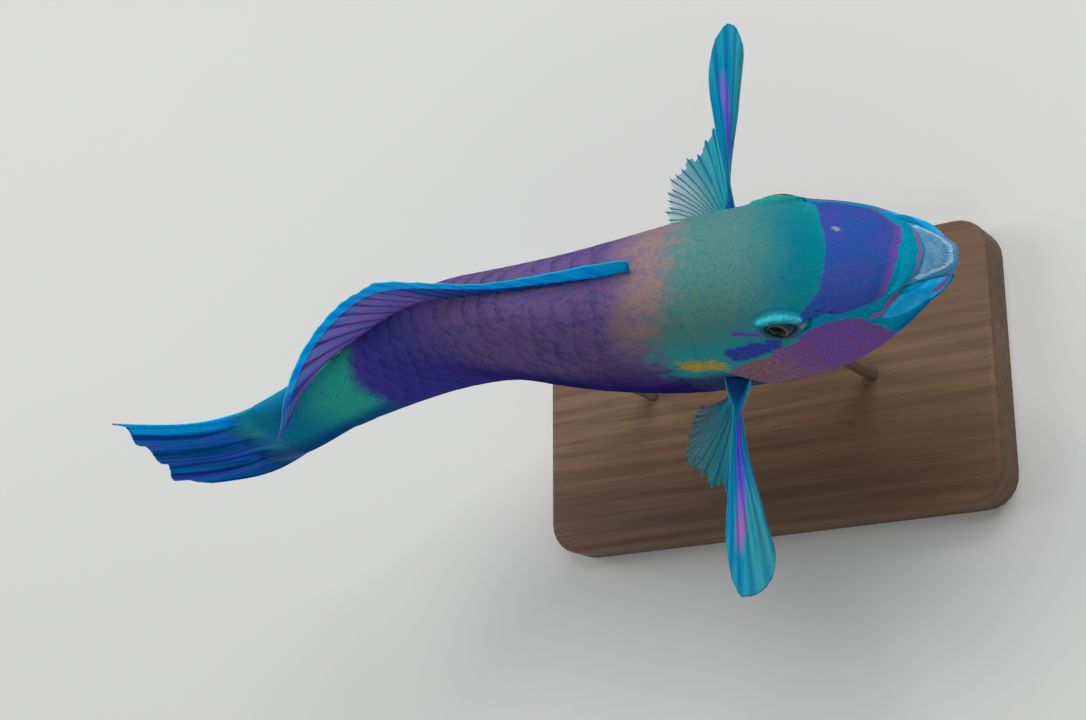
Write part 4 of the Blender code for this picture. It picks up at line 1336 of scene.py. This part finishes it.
def build_eyes():
    """Each eyeball, with its iris and pupil round the way it looks."""
    look = eye_look()
    radius = EYE_RADIUS - 0.15
    turns = np.radians(np.linspace(2, 118, 40))
    profile = [(radius * math.sin(t), radius * math.cos(t)) for t in turns]
    points, faces = lathe(profile, 64)
    for name, sign in (("left", 1), ("right", -1)):
        centre, axis = eye_frame(sign)
        up = np.array([0.0, 0, 1]) - axis * axis[2]
        up /= np.linalg.norm(up)
        wide = np.cross(up, axis)
        world = centre + points[:, :1] * wide + points[:, 1:2] * up + points[:, 2:] * axis
        piece("eye_" + name, place(world), faces, look, {"flat": points}, "eyes", "eye_" + name)


def eye_look():
    """Black pupil, copper ring, dark teal iris with fine spokes."""
    look = Look("eyeball")
    x, y = look.field("flat", 0), look.field("flat", 1)
    r = (x * x * 0.82 + y * y).math("SQRT")
    spin = y.math("ARCTAN2", x)
    turned = (0, spin.math("SINE") * 7.0), (1, spin.math("COSINE") * 7.0), (2, r * 0.4)
    spokes = look.value("ShaderNodeCombineXYZ", *turned).noise(1.6, 3.0, 0.7)
    fine = look.vector("flat").noise(1.8, 3.0)
    drawn = spokes.step(0.3, 0.7)
    outer = look.mix(drawn, (14, 44, 58), (26, 56, 66))
    colour = look.coats(
        (38, 60, 72),
        (drawn, (66, 72, 74)),
        ((r + (fine - 0.5) * 1.2).step(4.2, 5.2), outer),
        (abs(r - 3.2).step(0.4, 0.1) * 0.7, (130, 106, 88)),
        (r.step(3.1, 2.8), (4, 6, 16)),
    )
    return look.finish(
        colour, fine.span(0.3, 0.7, 0.1, 0.18), spokes * 0.6 + fine * 0.3, 0.06, 0.0001,
        Specular_IOR_Level=0.16, Coat_Weight=0.06, Coat_Roughness=0.05,
    )


def stand_looks():
    """Oiled walnut for the base and brushed steel for the rods, on the model's own nodes."""
    look = Look("walnut_grain")
    where = look.value("ShaderNodeTexCoord", output="Object")
    warp = where.noise((5.0, 30.0, 30.0), 3.0, 0.6)
    grain = where.noise((9.0, 260.0, 260.0), 4.0, 0.6)
    pores = where.noise((60.0, 1500.0, 1500.0), 2.0, 0.6)
    colour = look.coats(
        (122, 92, 68),
        (grain.step(0.36, 0.66), (96, 70, 51)),
        (warp.step(0.4, 0.65) * 0.6, (108, 80, 58)),
        (pores.step(0.56, 0.7) * 0.4, (66, 46, 34)),
    )
    rough = warp.span(0.3, 0.7, 0.46, 0.6)
    wood = look.finish(colour, rough, pores * -0.6 + grain * 0.2, 0.2, 0.0002, Specular_IOR_Level=0.3)
    look = Look("brushed_steel")
    where = look.value("ShaderNodeTexCoord", output="Object")
    brushed = where.noise((2600.0, 2600.0, 60.0), 3.0, 0.6)
    colour = look.mix(brushed, (168, 170, 174), (206, 208, 210))
    rough = brushed.span(0.3, 0.7, 0.24, 0.42)
    steel = look.finish(colour, rough, brushed, 0.12, 0.0001, Metallic=1.0)
    for name, made in (("stand_base", wood), ("stand_rod_front", steel), ("stand_rod_rear", steel)):
        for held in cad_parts[name].material_slots:
            held.material = made


def build_studio():
    """Pale floor, soft lamps and the camera at the photograph's angle."""
    mesh = bpy.data.meshes.new("floor")
    corners = [(x * FLOOR_HALF, y * FLOOR_HALF, 0) for x, y in ((-1, -1), (1, -1), (1, 1), (-1, 1))]
    mesh.from_pydata(corners, [], [(0, 1, 2, 3)])
    floor = bpy.data.objects.new("floor", mesh)
    bpy.context.scene.collection.objects.link(floor)
    look = Look("floor_paint")
    where = look.value("ShaderNodeTexCoord", output="Object")
    soft = where.noise(2.0, 3.0)
    colour = look.mix(soft, (214, 214, 210), (220, 220, 217))
    rough = soft.span(0.3, 0.7, 0.75, 0.85)
    mesh.materials.append(look.finish(colour, rough, where.noise(300.0), 0.05, 0.0002))
    world = bpy.data.worlds.new("studio")
    world.use_nodes = True
    sky = world.node_tree.nodes["Background"]
    sky.inputs[0].default_value = WORLD_COLOUR
    sky.inputs[1].default_value = WORLD_STRENGTH
    bpy.context.scene.world = world
    bpy.context.scene.view_settings.view_transform = "Standard"
    for name, where, width, power in LAMPS:
        lamp = bpy.data.lights.new(name, "AREA")
        lamp.shape = "DISK"
        lamp.size = width
        lamp.energy = power
        made = bpy.data.objects.new(name, lamp)
        made.location = where
        made.rotation_euler = (TARGET - Vector(where)).to_track_quat("-Z", "Y").to_euler()
        bpy.context.scene.collection.objects.link(made)
    back = Vector(CAMERA_SIDE).normalized()
    right = Vector((0, 0, 1)).cross(back).normalized()
    up = back.cross(right)
    x = right * math.cos(CAMERA_ROLL) + up * math.sin(CAMERA_ROLL)
    y = up * math.cos(CAMERA_ROLL) - right * math.sin(CAMERA_ROLL)
    camera = bpy.data.cameras.new("camera")
    camera.sensor_width = SENSOR
    camera.lens = FOCAL_PIXELS / PHOTO_WIDTH * SENSOR
    camera.clip_start = 0.02
    camera.clip_end = 30
    holder = bpy.data.objects.new("camera", camera)
    matrix = Matrix((x, y, back)).transposed().to_4x4()
    matrix.translation = TARGET + back * CAMERA_AWAY
    holder.matrix_world = matrix
    bpy.context.scene.collection.objects.link(holder)
    bpy.context.scene.camera = holder


build_studio()
build_skin()
build_scales()
build_median_fins()
build_tail_fin()
belly_fin = fin_look("belly_fins", pelvic_paint)
for label, way, stripe_width, stripe_course, stripe_end in (
    ("left", 1, 0.75, (0.26, 0.09), (120, 80, 200)),
    ("right", -1, 1.0, (0.3, 0.15), (160, 84, 164)),
):
    painter = pectoral_painter(stripe_width, stripe_course, stripe_end)
    build_pectoral(label, way, fin_look("side_fin_" + label, painter, pectoral_alpha, 0.04))
    build_pelvic(label, way, belly_fin)
build_beak()
build_eyes()
stand_looks()
